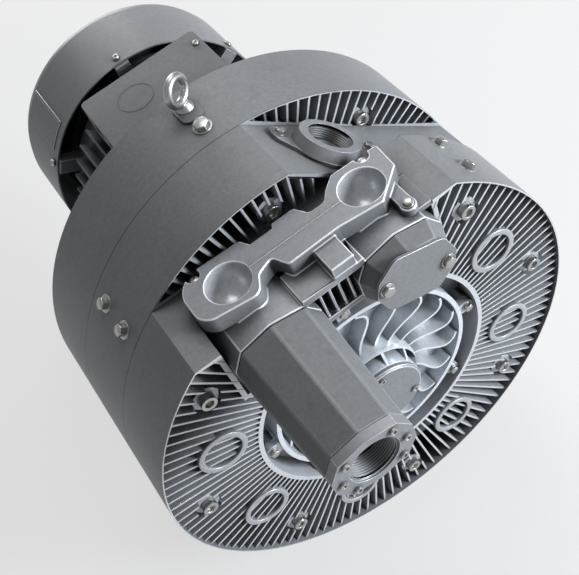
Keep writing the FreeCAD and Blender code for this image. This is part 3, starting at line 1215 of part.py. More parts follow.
def screws(label, sets):
    """A group of like screws. Each set has its spots, plane, seat, turn, and sizes of head and shank.

    Heads stand off the seat along the sketch's normal, and shanks go in against it. On the facing
    plane that normal looks to the front; for screws put in from behind it is turned round.
    """
    body = new_body(label + "_group")
    for number, (plane, spots, seat, turn, head, height, shank, length, behind) in enumerate(sets):
        heads = drawing_on(body, "%s_head_%d_sketch" % (label, number), plane, seat, turn)
        stems = drawing_on(body, "%s_stem_%d_sketch" % (label, number), plane, seat, turn)
        for u, v in spots:
            circle(heads, u, v, head)
            circle(stems, u, v, shank)
        pad(body, "%s_head_%d" % (label, number), heads, height, behind)
        pad(body, "%s_stem_%d" % (label, number), stems, length, not behind)
    return settle(body, label)


screws("casing_screws", [
    ("XZ_Plane", ring_spots(bolt_circle, 8, 0, (1, 2)), bolt_boss_front, 0, 8, 8, BOLT_SHANK,
     front_depth - bolt_boss_front + 35, False),
    ("XZ_Plane", ring_spots(bolt_circle, 8, 0, (0, 2, 3, 4, 5, 6, 7)), bolt_boss_front, 0, 8, 8, BOLT_SHANK,
     front_depth - bolt_boss_front - 8, False),
    ("XZ_Plane", [(0, bolt_circle)], middle_front + post_depth, 0, 8, 8, BOLT_SHANK, middle_depth + 20, False),
    ("XZ_Plane", corner_spot, rear_front + post_depth, 0, 8, 8, BOLT_SHANK, 40, False)])
screws("cover_screws", [("XZ_Plane", ring_spots(lug_circle, 8), lug_front, 0, 5, 5, 2.6, 18, False)])
screws("silencer_screws", [("XZ_Plane", end_spots, end_front, 0, 3.6, 3, 2, end_thick, False)])
screws("neck_cover_screws", [("XZ_Plane", cover_spots, neck_front - cover_plate_thick, cover_tilt, 6.5, 5, 3, 3, False)])
screws("manifold_screws", [("XY_Plane", [(93, 6), (-93, plate_back + 1), (92, plate_back)],
                            platform_level + 9, 0, 5, 5, 3, 9, False)])
screws("side_port_screws", [("YZ_Plane", side_spots, tilted_level + side_flange_thick, 90 - tilt,
                             5.5, 5, 3, side_flange_thick, False)])
screws("skirt_screws", [
    ("YZ_Plane", [(26, 0), (67, 0)], drum_radius - SKIRT_SEAT, EIGHTH, 6.5, 8, 3, 5, False),
    ("YZ_Plane", [(108, 0), (148, 0)], drum_radius - SKIRT_SEAT, 135, 6.5, 8, 3, 5, False)])
screws("hub_cap_screws", [("XZ_Plane", cap_spots, cap_seat - cap_thick, 0, 3.5, 2.5, 2, 8, False)])
screws("top_seam_screw", [("XY_Plane", [(0, eye_place - 34)], drum_radius, 0, 8.5, 7, BOLT_SHANK, 20, False)])
screws("cowl_screws", [("YZ_Plane", [(frame_end + 22, 0)], cowl_radius, 30 + 60 * k, 4.5, 4, 2.4, cowl_wall, False)
                       for k in range(6)])
screws("lid_screws", [("XY_Plane", lid_spots, box_top + lid_thick, 0, 4, 3, 2.4, lid_thick, False)])
screws("foot_screws", [("XZ_Plane", [(side * foot_spread, -foot_ear_top - 16) for side in (-1, 1)],
                        drum_back + foot_thick, 0, 8, 6.5, BOLT_SHANK, foot_thick + 18, True)])
screws("motor_flange_screws", [("XZ_Plane", ring_spots((frame_flange_radius + frame_inner) / 2, 8, 22.5),
                                drum_back + frame_flange_thick, 0, 6.5, 5.5, 4, frame_flange_thick + 18, True)])

doc.recompute()

for thing in doc.Objects:
    if "Invalid" in thing.State or "Error" in thing.State:
        raise RuntimeError("failed: %s %s" % (thing.Name, thing.State))
os.makedirs("parts", exist_ok=True)
for thing in sub_parts:
    shape = thing.Shape
    if shape.isNull() or not shape.isValid():
        raise RuntimeError("bad shape: " + thing.Label)
    shape.exportStep("parts/%s.step" % thing.Label)
    print("%-22s solids %2d volume %10.0f faces %d" % (
        thing.Label, len(shape.Solids), shape.Volume, len(shape.Faces)))
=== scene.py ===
import json
import math

import bpy
from mathutils import Matrix, Vector

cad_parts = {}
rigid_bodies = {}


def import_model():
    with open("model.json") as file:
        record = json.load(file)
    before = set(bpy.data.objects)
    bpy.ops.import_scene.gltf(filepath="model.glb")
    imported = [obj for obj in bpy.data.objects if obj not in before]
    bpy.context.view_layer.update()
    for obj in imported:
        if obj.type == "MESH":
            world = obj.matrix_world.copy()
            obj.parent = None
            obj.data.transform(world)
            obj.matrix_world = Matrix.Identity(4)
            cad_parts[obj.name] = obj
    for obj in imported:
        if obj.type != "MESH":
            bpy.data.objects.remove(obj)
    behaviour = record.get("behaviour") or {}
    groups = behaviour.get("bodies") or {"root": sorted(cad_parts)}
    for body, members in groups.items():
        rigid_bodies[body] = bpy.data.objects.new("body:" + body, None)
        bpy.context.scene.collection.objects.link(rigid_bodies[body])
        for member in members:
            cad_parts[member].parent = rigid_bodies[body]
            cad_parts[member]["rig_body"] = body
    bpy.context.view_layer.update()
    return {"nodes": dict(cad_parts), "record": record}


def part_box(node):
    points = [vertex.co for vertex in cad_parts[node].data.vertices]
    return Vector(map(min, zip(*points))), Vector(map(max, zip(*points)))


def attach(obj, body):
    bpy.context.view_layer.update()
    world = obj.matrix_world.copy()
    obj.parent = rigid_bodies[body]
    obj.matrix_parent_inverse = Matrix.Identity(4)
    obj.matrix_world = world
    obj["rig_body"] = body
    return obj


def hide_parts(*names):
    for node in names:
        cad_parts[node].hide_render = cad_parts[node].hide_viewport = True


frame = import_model()

# Front casing: the open dish of radial fins at the front of the drum, die cast in aluminium and
# sprayed in silver-grey lacquer. Its fin tips and rims are rubbed and carry a painted highlight, and dust
# with painted shade lies between them.

LACQUER = (0.212, 0.220, 0.230, 1)
# A lighter copy of the lacquer: painted light on the inner faces of the dish.
LIT_LINING_TONE = (0.60, 0.622, 0.65, 1)
JOINT_WIDTH = 0.0006
# Reach of the ambient occlusion that paints dust and shade into hollows.
DUST_AND_SHADE_REACH = 0.022
MERGE_REACH = 0.00001
FLAT_ANGLE = 0.6
SAME_PLACE = 0.0002
MIX_SHARE, MIX_FIRST, MIX_SECOND, MIX_COLOUR = 0, 6, 7, 2
shaft_low, shaft_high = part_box("rotor_shaft")
axis_height = (shaft_low.z + shaft_high.z) / 2


class Wire:
    """A socket in a material's node tree; Python's operators add its Math nodes."""

    def __init__(self, tree, socket=None):
        self.tree = tree
        self.socket = socket

    def node(self, kind, settings=(), inputs=(), output=0, stops=()):
        made = self.tree.nodes.new("ShaderNode" + kind)
        for name, value in dict(settings).items():
            setattr(made, name, value)
        if stops:
            ramp = made.color_ramp.elements
            while len(ramp) < len(stops):
                ramp.new(0.5)
            for mark, (spot, tone) in zip(ramp, stops):
                mark.position = spot
                mark.color = (tone, tone, tone, 1)
        for key, value in dict(inputs).items():
            if isinstance(value, Wire):
                self.tree.links.new(value.socket, made.inputs[key])
            else:
                made.inputs[key].default_value = value
        return Wire(self.tree, made.outputs[output])

    def maths(self, operation, first, second):
        return self.node("Math", {"operation": operation}, {0: first, 1: second})

    def __add__(self, other):
        return self.maths("ADD", self, other)

    def __radd__(self, other):
        return self.maths("ADD", other, self)

    def __sub__(self, other):
        return self.maths("SUBTRACT", self, other)

    def __rsub__(self, other):
        return self.maths("SUBTRACT", other, self)

    def __mul__(self, other):
        return self.maths("MULTIPLY", self, other)

    def __rmul__(self, other):
        return self.maths("MULTIPLY", other, self)

    def __pow__(self, other):
        return self.maths("POWER", self, other)


def blank_finish(name):
    """A new material, its shader, a wire to start from and the place on the piece."""
    material = bpy.data.materials.new(name)
    material.use_nodes = True
    tree = material.node_tree
    shader = tree.nodes["Principled BSDF"]
    start = Wire(tree)
    return material, shader, start, start.node("TexCoord", output="Object")


def lay(shader, name, wire):
    """Feeds a shader's socket with a wire."""
    wire.tree.links.new(wire.socket, shader.inputs[name])


def blended(share, first, second):
    """Two colours mixed by a share that varies over the surface."""
    colours = {MIX_SHARE: share, MIX_FIRST: first, MIX_SECOND: second}
    return share.node("Mix", {"data_type": "RGBA"}, colours, output=MIX_COLOUR)


def shade(colour, factor, lift=0.0):
    """A darker or lighter tone of a colour."""
    return tuple(min(1.0, part * factor + lift) for part in colour[:3]) + (1,)


def joint_lines(start, place, levels, reach):
    """Thin dark lines round a drum, where one casting meets the next."""
    x, y, z = (start.node("SeparateXYZ", {}, {0: place}, output=part) for part in range(3))
    rise = z - axis_height
    outside = start.maths("GREATER_THAN", (x * x + rise * rise) ** 0.5, reach)
    return outside * sum(start.node("Math", {"operation": "COMPARE"}, {0: y, 1: level, 2: JOINT_WIDTH})
                         for level in levels)


def cast_lacquer(name, colour, metallic, rough, sand=0.0002, bright=1.0, joints=(), grime_and_shade=0.12):
    """Metallic lacquer over a fine casting: clouded, flecked, dust and painted shade in hollows, worn edges
    with a painted highlight.
    """
    material, shader, start, place = blank_finish(name)
    grains = start.node("TexNoise", {}, {"Vector": place, "Scale": 1300, "Detail": 2})
    clouds = start.node("TexNoise", {}, {"Vector": place, "Scale": 11, "Detail": 5, "Roughness": 0.6})
    patches = start.node("TexNoise", {}, {"Vector": place, "Scale": 90, "Detail": 5, "Roughness": 0.65})
    orange_peel = start.node("TexNoise", {}, {"Vector": place, "Scale": 420, "Detail": 1})
    flecks = start.node("ValToRGB", {}, {0: patches}, stops=((0.55, 0), (0.70, 1)))
    mottle = start.node("TexNoise", {}, {"Vector": place, "Scale": 260, "Detail": 3, "Roughness": 0.7})
    open_air = start.node("AmbientOcclusion", {"samples": 8}, {"Distance": DUST_AND_SHADE_REACH}, output="AO")
    exposed = start.node("ValToRGB", {}, {0: open_air}, stops=((0.15, 0), (0.5, 1)))
    rim = start.node("Attribute", {"attribute_name": "rim"}, output="Fac")
    # Rubbed edges: partly real wear, partly a painted highlight where the roundings catch the light.
    rubbed_and_glinting = rim * exposed * (0.6 + 0.7 * patches) * bright
    # Hollows darkened by ambient occlusion: partly dust, partly painted shade.
    dust_and_shade = (1 - open_air) * (0.6 + 0.6 * clouds)
    tone = blended(clouds * 1.4 - 0.2, shade(colour, 0.84), shade(colour, 1.14))
    tone = blended(mottle * 2.2 - 0.75, tone, shade(colour, 0.80))
    tone = blended(flecks * 0.4, tone, shade(colour, 0.66))
    tone = blended(rubbed_and_glinting, tone, shade(colour, 2.0, 0.25))
    tone = blended(dust_and_shade, tone, shade(colour, grime_and_shade))
    if joints:
        tone = blended(joint_lines(start, place, joints, DRUM_SKIN) * 0.8, tone, shade(colour, 0.2))
    lay(shader, "Base Color", tone)
    lay(shader, "Metallic", metallic + rubbed_and_glinting * 0.3)
    shader.inputs["Specular IOR Level"].default_value = 0.25
    uneven = (clouds - 0.5) * 0.2 + (grains - 0.5) * 0.1
    lay(shader, "Roughness", rough + uneven + dust_and_shade * 0.3 - rubbed_and_glinting * 0.08)
    height = grains * 0.5 + orange_peel * 0.9 + mottle * 0.8 + patches * 0.8
    lay(shader, "Normal", start.node("Bump", {}, {"Strength": 0.4, "Distance": sand, "Height": height}))
    return material


def alone(piece):
    """Only this piece is selected and active."""
    bpy.ops.object.select_all(action="DESELECT")
    piece.select_set(True)
    bpy.context.view_layer.objects.active = piece


def settle(piece, smooth=40):
    """Applies a piece's modifiers and its place, and smooths it up to its sharp edges."""
    alone(piece)
    for modifier in list(piece.modifiers):
        bpy.ops.object.modifier_apply(modifier=modifier.name)
    bpy.ops.object.transform_apply(location=True, rotation=True, scale=True)
    bpy.ops.object.shade_smooth_by_angle(angle=math.radians(smooth))


def even_shading(piece):
    """Keeps flat faces flat between their rounded edges."""
    piece.modifiers.new("flat_faces", "WEIGHTED_NORMAL").keep_sharp = True
    alone(piece)
    bpy.ops.object.modifier_apply(modifier="flat_faces")


def stands_for(piece, node):
    """The piece rides with the body of the frame's solid that it takes the place of, and that solid is
    hidden.
    """
    row = next(part for part in frame["record"]["subparts"] if part["node"] == node)
    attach(piece, frame["nodes"][node]["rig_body"])
    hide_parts(node)


def placed(name, data):
    item = bpy.data.objects.new(name, data)
    bpy.context.scene.collection.objects.link(item)
    return item


def merged_copy(node, name):
    """A copy of a CAD node with its loose triangles joined into whole faces."""
    mesh = frame["nodes"][node].data.copy()
    mesh.materials.clear()
    piece = placed(name, mesh)
    alone(piece)
    bpy.ops.object.mode_set(mode="EDIT")
    bpy.ops.mesh.select_all(action="SELECT")
    bpy.ops.mesh.customdata_custom_splitnormals_clear()
    bpy.ops.mesh.remove_doubles(threshold=MERGE_REACH)
    bpy.ops.mesh.dissolve_limited(angle_limit=math.radians(FLAT_ANGLE))
    bpy.ops.object.mode_set(mode="OBJECT")
    return piece


def edge_rounding(piece, width, steps, angle):
    rounding = piece.modifiers.new("edge_rounding", "BEVEL")
    rounding.width = width
    rounding.segments = steps
    rounding.limit_method = "ANGLE"
    rounding.angle_limit = math.radians(angle)
    return rounding


def round_edges(piece, finish, width, steps=2, angle=28, clamp=True):
    """Rounds the edges of a piece and marks the roundings, where its finish is shown rubbed off with a
    painted highlight.
    """
    piece.data.materials.append(finish)
    piece.data.materials.append(finish)
    rounding = edge_rounding(piece, width, steps, angle)
    rounding.material = 1
    rounding.miter_outer = "MITER_ARC"
    rounding.use_clamp_overlap = clamp
    settle(piece)
    rim = piece.data.attributes.new("rim", "FLOAT", "CORNER")
    for face in piece.data.polygons:
        for corner in face.loop_indices:
            rim.data[corner].value = face.material_index
        face.material_index = 0
    piece.data.materials.pop()
    even_shading(piece)


def pick(piece, wanted):
    """Opens a piece in edit mode with only the corners selected that are wanted."""
    alone(piece)
    bpy.ops.object.mode_set(mode="EDIT")
    bpy.ops.mesh.select_mode(type="VERT")
    bpy.ops.mesh.select_all(action="DESELECT")
    bpy.ops.object.mode_set(mode="OBJECT")
    for corner in piece.data.vertices:
        corner.select = wanted(corner.co)
    bpy.ops.object.mode_set(mode="EDIT")


def paint_lit_lining(piece, finish):
    """Fins and walls within the skirt, if they face neither outward nor back, get a lighter copy of the
    lacquer as painted light.
    """
    piece.data.materials.append(finish)
    for face in piece.data.polygons:
        arm = Vector((face.center.x, 0, face.center.z - axis_height))
        lining = face.normal.dot(arm.normalized()) < OUTWARD_SHARE and face.normal.y < OUTWARD_SHARE
        if lining and arm.length < SKIRT_BORE - SKIRT_LIP:
            face.material_index = 1


def drum_casing(node, finish, width, steps, level):
    """A drum casing whose skirt gets thinner towards its front rim, as drawn for the mould."""
    piece = merged_copy(node, node + "_cast")
    pick(piece, lambda spot: abs(spot.y - level) < FIN_SETBACK
         and abs(math.hypot(spot.x, spot.z - axis_height) - SKIRT_BORE) < SAME_PLACE)
    share = 1 + RIM_DRAFT / SKIRT_BORE
    bpy.ops.transform.resize(value=(share, 1, share), center_override=(0, level, axis_height))
    bpy.ops.object.mode_set(mode="OBJECT")
    round_edges(piece, finish, width, steps)
    paint_lit_lining(piece, lit_lining_casting)
    stands_for(piece, node)


def eased(node, finish, width, steps=2, angle=28):
    """A cast piece with its edges rounded: a merged copy of the CAD node takes its place."""
    piece = merged_copy(node, node + "_cast")
    round_edges(piece, finish, width, steps, angle)
    stands_for(piece, node)


casing_low, casing_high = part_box("front_casing")
rear_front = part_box("rear_casing")[0].y
DRUM_SKIN = casing_high.x - 0.002
SKIRT_BORE = casing_high.x - 0.005
SKIRT_LIP = 0.001
RIM_DRAFT = 0.0036
FIN_SETBACK = 0.0045
OUTWARD_SHARE = 0.3
silver = cast_lacquer("silver_lacquer", LACQUER, metallic=0.25, rough=0.46,
                      joints=(casing_high.y, rear_front))
# Lighter lining: painted light on the inner faces of the dish, as they catch the lamps.
lit_lining_casting = cast_lacquer("lit_lining_casting", LIT_LINING_TONE, metallic=0.5, rough=0.36, grime_and_shade=0.22)
drum_casing("front_casing", silver, width=0.0005, steps=1, level=casing_low.y)

# Channel wall: the front casing's side channel bulges out as a round ring between the fins. It is cast
# in one with the casing and ends below the platform that carries the manifold.

CHANNEL_RADIUS = 0.176
CHANNEL_BULGE = 0.028
FIN_FLOOR = casing_low.y + 0.0445
CHANNEL_TOP = axis_height + 0.15
ALONG_SHAFT = (math.radians(90), 0, 0)
bpy.ops.mesh.primitive_torus_add(major_radius=CHANNEL_RADIUS, minor_radius=CHANNEL_BULGE,
                                 major_segments=200, minor_segments=36,
                                 location=(0, FIN_FLOOR, axis_height), rotation=ALONG_SHAFT)
channel = bpy.context.active_object
channel.name = "channel_wall"
bpy.ops.object.transform_apply(location=True, rotation=True, scale=True)
bpy.ops.object.mode_set(mode="EDIT")
for spot, facing in (((0, FIN_FLOOR, 0), (0, 1, 0)), ((0, 0, CHANNEL_TOP), (0, 0, 1))):
    bpy.ops.mesh.select_all(action="SELECT")
    bpy.ops.mesh.bisect(plane_co=spot, plane_no=facing, use_fill=True, clear_outer=True)
bpy.ops.object.mode_set(mode="OBJECT")
# The channel wall takes the same lighter lining, painted light like the fins around it.
channel.data.materials.append(lit_lining_casting)
settle(channel)
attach(channel, frame["nodes"]["front_casing"]["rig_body"])

# Ring collars: the six round bosses in the dish have thick rims, cast in one with the casing and
# faced by the mill, with the fins running through them.

COLLAR_COUNT = 8
COLLAR_PLACES = (0, 3, 4, 5, 6, 7)
COLLAR_RADII = (0.0200, 0.0262)
COLLAR_DEPTH = 0.007
COLLAR_FRONT = casing_low.y + 0.0007
COLLAR_EDGE = 0.0008


def soften(item, width, steps=2):
    edge_rounding(item, width, steps, 40)
    settle(item, 45)


def machine(blank, tool, cut="DIFFERENCE"):
    """Takes a tool's shape out of a blank, or turns the blank down to the tool's shape."""
    cutting = blank.modifiers.new("cutting", "BOOLEAN")
    cutting.object = tool
    cutting.operation = cut
    alone(blank)
    bpy.ops.object.modifier_apply(modifier="cutting")
    bpy.data.objects.remove(tool)


bpy.ops.mesh.primitive_cylinder_add(vertices=72, radius=COLLAR_RADII[1], depth=COLLAR_DEPTH,
                                    location=(0, COLLAR_FRONT + COLLAR_DEPTH / 2, 0), rotation=ALONG_SHAFT)
collar = bpy.context.active_object
bpy.ops.mesh.primitive_cylinder_add(vertices=72, radius=COLLAR_RADII[0], depth=COLLAR_DEPTH * 3,
                                    location=(0, COLLAR_FRONT, 0), rotation=ALONG_SHAFT)
machine(collar, bpy.context.active_object)
soften(collar, COLLAR_EDGE, 3)
collar.data.materials.append(cast_lacquer("milled_rim", (0.40, 0.415, 0.435, 1), metallic=0.5, rough=0.36))
for place in COLLAR_PLACES:
    angle = math.radians(360 / COLLAR_COUNT * (place + 0.5))
    mesh = collar.data.copy()
    mesh.transform(Matrix.Translation((CHANNEL_RADIUS * math.cos(angle), 0,
                                       axis_height + CHANNEL_RADIUS * math.sin(angle))))
    ring_collar = placed("ring_collar_%d" % place, mesh)
    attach(ring_collar, frame["nodes"]["front_casing"]["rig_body"])
bpy.data.objects.remove(collar)

# Middle and rear casings: two more aluminium castings behind the front one, bolted through their
# bosses. Each has a crescent of fins above a flat platform; the rear one carries the motor.

drum_casing("middle_casing", silver, width=0.0005, steps=2, level=casing_high.y)
drum_casing("rear_casing", silver, width=0.0005, steps=2, level=rear_front)

# Front cover: a shallow cast dish of curved cooling vanes round the front bearing, screwed on by its
# eight lugs. Cast cells open round its hub, and a round cap on three screws closes the hub.

CELL_COUNT = 10
CELL_GAP = 4
CELL_STEPS = 10
CELL_RADII = (0.0415, 0.0475)
CELL_SETBACK = 0.002
CELL_FLOOR = casing_low.y + 0.020
# The cover's lacquer is a lighter, bluer copy: painted light where the cover faces the key lamp.
front_lit_casting = cast_lacquer("front_lit_casting", (0.68, 0.71, 0.75, 1), metallic=0.5, rough=0.3, grime_and_shade=0.25)
cover = merged_copy("front_cover", "front_cover_cast")
cell_ends = (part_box("hub_cap")[0].y + CELL_SETBACK, CELL_FLOOR)
bpy.ops.mesh.primitive_plane_add(size=1, location=(sum(CELL_RADII) / 2, sum(cell_ends) / 2, 0))
cell = bpy.context.active_object
cell.scale = (CELL_RADII[1] - CELL_RADII[0], cell_ends[1] - cell_ends[0], 1)
bpy.ops.object.transform_apply(location=True, rotation=True, scale=True)
bpy.ops.object.mode_set(mode="EDIT")
bpy.ops.mesh.select_all(action="SELECT")
bpy.ops.mesh.spin(steps=CELL_STEPS, angle=math.radians(360 / CELL_COUNT - CELL_GAP),
                  center=(0, 0, 0), axis=(0, 1, 0))
bpy.ops.mesh.select_all(action="SELECT")
bpy.ops.mesh.remove_doubles(threshold=MERGE_REACH)
bpy.ops.mesh.normals_make_consistent(inside=False)
bpy.ops.object.mode_set(mode="OBJECT")
ring = cell.modifiers.new("ring", "ARRAY")
ring.count = CELL_COUNT
ring.use_relative_offset = False
ring.use_object_offset = True
bpy.ops.object.empty_add(location=(0, 0, 0), rotation=(0, math.radians(360 / CELL_COUNT), 0))
step = bpy.context.active_object
ring.offset_object = step
settle(cell)
bpy.data.objects.remove(step)
cell.data.transform(Matrix.Translation((0, 0, axis_height)))
machine(cover, cell)
round_edges(cover, front_lit_casting, width=0.0006)
stands_for(cover, "front_cover")
eased("hub_cap", silver, width=0.0012, steps=3)

# Manifold: the cast piece on the front platform with two ducts and two round cups. It is cast in
# one with its bridge and is held down by three screws.

CUP_OFFSET = 0.072
CUP_PLACE = casing_low.y + 0.043
CUP_SPHERE = 0.022
CUP_DROP = 0.0047
CUP_SLACK = 0.0008
PARTING_WIDTH = 0.0016
PARTING_LENGTH = 0.098
PARTING_RISE = 0.0009
BLOCK_FRONT = casing_low.y - 0.002
BLOCK_SIDE = 0.028
BLOCK_FOOT = casing_high.z - 0.0005
BLOCK_REACH = 0.006
duct_casting = cast_lacquer("duct_casting", (0.25, 0.260, 0.274, 1), metallic=0.35, rough=0.40)
# The cups' bowls get a lighter copy of the casting: painted light and painted reflection inside them.
lit_cup_casting = cast_lacquer("lit_cup_casting", (0.66, 0.68, 0.71, 1), metallic=0.4, rough=0.26,
                           bright=0.3, grime_and_shade=0.4)
manifold_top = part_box("manifold")[1].z
manifold = merged_copy("manifold", "manifold_cast")
pick(manifold, lambda spot: abs(spot.y - BLOCK_FRONT) < SAME_PLACE and 0 < spot.x < BLOCK_SIDE
     and spot.z > BLOCK_FOOT)
bpy.ops.transform.translate(value=(0, -BLOCK_REACH, 0))
bpy.ops.object.mode_set(mode="OBJECT")
round_edges(manifold, duct_casting, width=0.0012, steps=3, clamp=False)
manifold.data.materials.append(lit_cup_casting)
for face in manifold.data.polygons:
    cup = Vector((math.copysign(CUP_OFFSET, face.center.x), CUP_PLACE, manifold_top - CUP_DROP))
    if abs((face.center - cup).length - CUP_SPHERE) < CUP_SLACK:
        face.material_index = 1
stands_for(manifold, "manifold")
bpy.ops.mesh.primitive_cylinder_add(vertices=8, radius=PARTING_WIDTH / 2, depth=PARTING_LENGTH,
                                    location=(0, CUP_PLACE, manifold_top),
                                    rotation=(0, math.radians(90), 0))
parting = bpy.context.active_object
parting.name = "manifold_parting_line"
parting.scale = (2 * PARTING_RISE / PARTING_WIDTH, 1, 1)
settle(parting)
round_edges(parting, duct_casting, width=0.0001)
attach(parting, frame["nodes"]["manifold"]["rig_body"])

# Platform lip: the front casing's flat top runs on to the right duct and closes the gap beside it.
# It is a short plain web, cast in one with the casing.

LIP_ENDS = (0.098, 0.1135)
LIP_THICK = 0.006
LIP_DEPTH = 0.043
LIP_FRONT = casing_low.y + 0.001
bpy.ops.mesh.primitive_cube_add(size=1, location=(sum(LIP_ENDS) / 2, LIP_FRONT + LIP_DEPTH / 2,
                                                  casing_high.z - LIP_THICK / 2))
lip = bpy.context.active_object
lip.name = "platform_lip"
lip.scale = (LIP_ENDS[1] - LIP_ENDS[0], LIP_DEPTH, LIP_THICK)
settle(lip)
round_edges(lip, silver, width=0.0005)
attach(lip, frame["nodes"]["front_casing"]["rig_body"])

# Silencer: a drawn-out shell of ten soft-edged faces in front of the left duct, lined with foam. Its
# cast end piece has a threaded mouth for the pipe.

THREAD_PITCH = 0.00231
THREAD_DEPTH = 0.0014
THREAD_STEPS = 56
THREAD_TURN = ((THREAD_DEPTH, 0.42), (0.0, 0.08), (-THREAD_DEPTH, 0.42), (0.0, 0.08))
BORE_SLACK = 0.0004
smooth_casting = cast_lacquer("smooth_casting", (0.178, 0.184, 0.191, 1), metallic=0.2, rough=0.55,
                              sand=0.00028, bright=0.12)
eased("silencer_housing", smooth_casting, width=0.0028, steps=4, angle=12)


def pipe_mount(name):
    """Middle, direction and sizes of a port's bore, from the record."""
    mount = next(item for item in frame["record"]["mounts"] if item["name"] == name)
    return Vector(mount["pos_m"]), Vector(mount["axis"]).normalized(), mount["dims"]


def threaded(piece, middle, axis, radius, length):
    """Opens the plain bore of a port and lines it with the turns of a pipe thread."""
    alone(piece)
    bpy.ops.object.mode_set(mode="EDIT")
    bpy.ops.mesh.select_all(action="DESELECT")
    bpy.ops.object.mode_set(mode="OBJECT")
    for face in piece.data.polygons:
        arm = face.center - middle
        reach = arm - axis * arm.dot(axis)
        face.select = abs(reach.length - radius) < BORE_SLACK and face.normal.dot(reach.normalized()) < -0.9
    bpy.ops.object.mode_set(mode="EDIT")
    bpy.ops.mesh.delete(type="FACE")
    bpy.ops.object.mode_set(mode="OBJECT")
    turns = int(length / THREAD_PITCH) - 1
    low = -THREAD_PITCH * (turns + 1) / 2
    turn = Vector((0, 0, 1)).rotation_difference(axis).to_matrix().to_4x4()
    bpy.ops.mesh.primitive_plane_add(size=0.001)
    thread = bpy.context.active_object
    bpy.ops.object.mode_set(mode="EDIT")
    bpy.ops.mesh.merge(type="CENTER")
    bpy.ops.transform.translate(value=(radius, 0, 0))
    for out, up in THREAD_TURN:
        bpy.ops.mesh.extrude_region_move(TRANSFORM_OT_translate={"value": (out, 0, up * THREAD_PITCH)})
    bpy.ops.object.mode_set(mode="OBJECT")
    winding = thread.modifiers.new("winding", "SCREW")
    winding.axis = "Z"
    winding.steps = THREAD_STEPS
    winding.render_steps = THREAD_STEPS
    winding.screw_offset = THREAD_PITCH
    winding.iterations = turns
    winding.use_merge_vertices = True
    settle(thread, 20)
    thread.data.transform(Matrix.Translation(middle) @ turn @ Matrix.Translation((0, 0, low)))
    for face in thread.data.polygons:
        arm = face.center - middle
        inward = -(arm - axis * arm.dot(axis))
        face.select = face.normal.dot(inward) < 0
    bpy.ops.object.mode_set(mode="EDIT")
    bpy.ops.mesh.flip_normals()
    bpy.ops.object.mode_set(mode="OBJECT")
    return thread


def ported(node, mount, finish, width):
    """A casting with a threaded port: the eased body, and its thread as a piece of its own."""
    middle, axis, sizes = pipe_mount(mount)
    body = merged_copy(node, node + "_cast")
    round_edges(body, finish, width, 3)
    thread = threaded(body, middle, axis, sizes["r_mm"] / 1000, sizes["length_mm"] / 1000)
    thread.name = mount + "_thread"
    thread.data.materials.append(cut_thread)
    stands_for(body, node)
    stands_for(thread, node)


def turned_metal(name, colour, rough, grain=0.00002):
    """Bare machined or plated metal, faintly clouded, with fine marks and painted shade in tight corners.
    """
    material, shader, start, place = blank_finish(name)
    clouds = start.node("TexNoise", {}, {"Vector": place, "Scale": 55, "Detail": 6})
    fine = start.node("TexNoise", {}, {"Vector": place, "Scale": 1800, "Detail": 2})
    open_air = start.node("AmbientOcclusion", {"samples": 6}, {"Distance": 0.006}, output="AO")
    tone = blended(clouds * 0.7, colour, shade(colour, 0.62))
    # Painted shade: darker where ambient occlusion finds tight corners.
    tone = blended((1 - open_air) * 0.8, tone, shade(colour, 0.15))
    lay(shader, "Base Color", tone)
    lay(shader, "Roughness", rough + (clouds - 0.5) * 0.25 + (1 - open_air) * 0.3)
    shader.inputs["Metallic"].default_value = 1
    lay(shader, "Normal", start.node("Bump", {}, {"Strength": 0.4, "Distance": grain, "Height": fine}))
    return material


cut_thread = turned_metal("cut_thread", (0.42, 0.43, 0.45, 1), rough=0.3)
ported("silencer_end_flange", "silencer_port", duct_casting, width=0.0011)


def dull(name, colour, rough=0.8, lumps=500, depth=0.0003):
    """Rubber, foam or moulded plastic: no shine, with a fine uneven skin."""
    material, shader, start, place = blank_finish(name)
    fine = start.node("TexNoise", {}, {"Vector": place, "Scale": lumps, "Detail": 5})
    wide = start.node("TexNoise", {}, {"Vector": place, "Scale": 25, "Detail": 3})
    lay(shader, "Base Color", blended(fine * 0.5 + wide * 0.3, colour, shade(colour, 0.45)))
    lay(shader, "Roughness", rough + (fine - 0.5) * 0.25)
    lay(shader, "Normal", start.node("Bump", {}, {"Strength": 0.5, "Distance": depth, "Height": fine}))
    return material


def finished(material, *names):
    """CAD nodes that keep their own shape get their finish."""
    for name in names:
        mesh = frame["nodes"][name].data
        mesh.materials.clear()
        mesh.materials.append(material)


finished(dull("liner_foam", (0.035, 0.036, 0.038, 1), rough=0.95, lumps=700, depth=0.0008),
         "silencer_liner")

# Blanked neck: the short duct end on the right, closed by a tilted plate of sheet steel with two
# screws. Thin fibre gaskets lie behind both duct ends.

plate_lacquer = cast_lacquer("plate_lacquer", (0.19, 0.196, 0.204, 1), metallic=0.25, rough=0.45)
eased("neck_cover", plate_lacquer, width=0.0007, steps=3)
eased("blanked_neck", smooth_casting, width=0.0025, steps=3, angle=12)
finished(dull("fibre_gasket", (0.035, 0.04, 0.038, 1), rough=0.85, lumps=900), "duct_gaskets")

# Side port: a round cast boss with a pipe thread, screwed to the tilted platform of the middle
# casing. It is finished as the ducts are.

ported("side_port_flange", "side_port", duct_casting, width=0.0012)

# Rotor: turned steel shaft with keys, sleeves and nut, and two cast aluminium impellers whose blades
# run in the side channels.

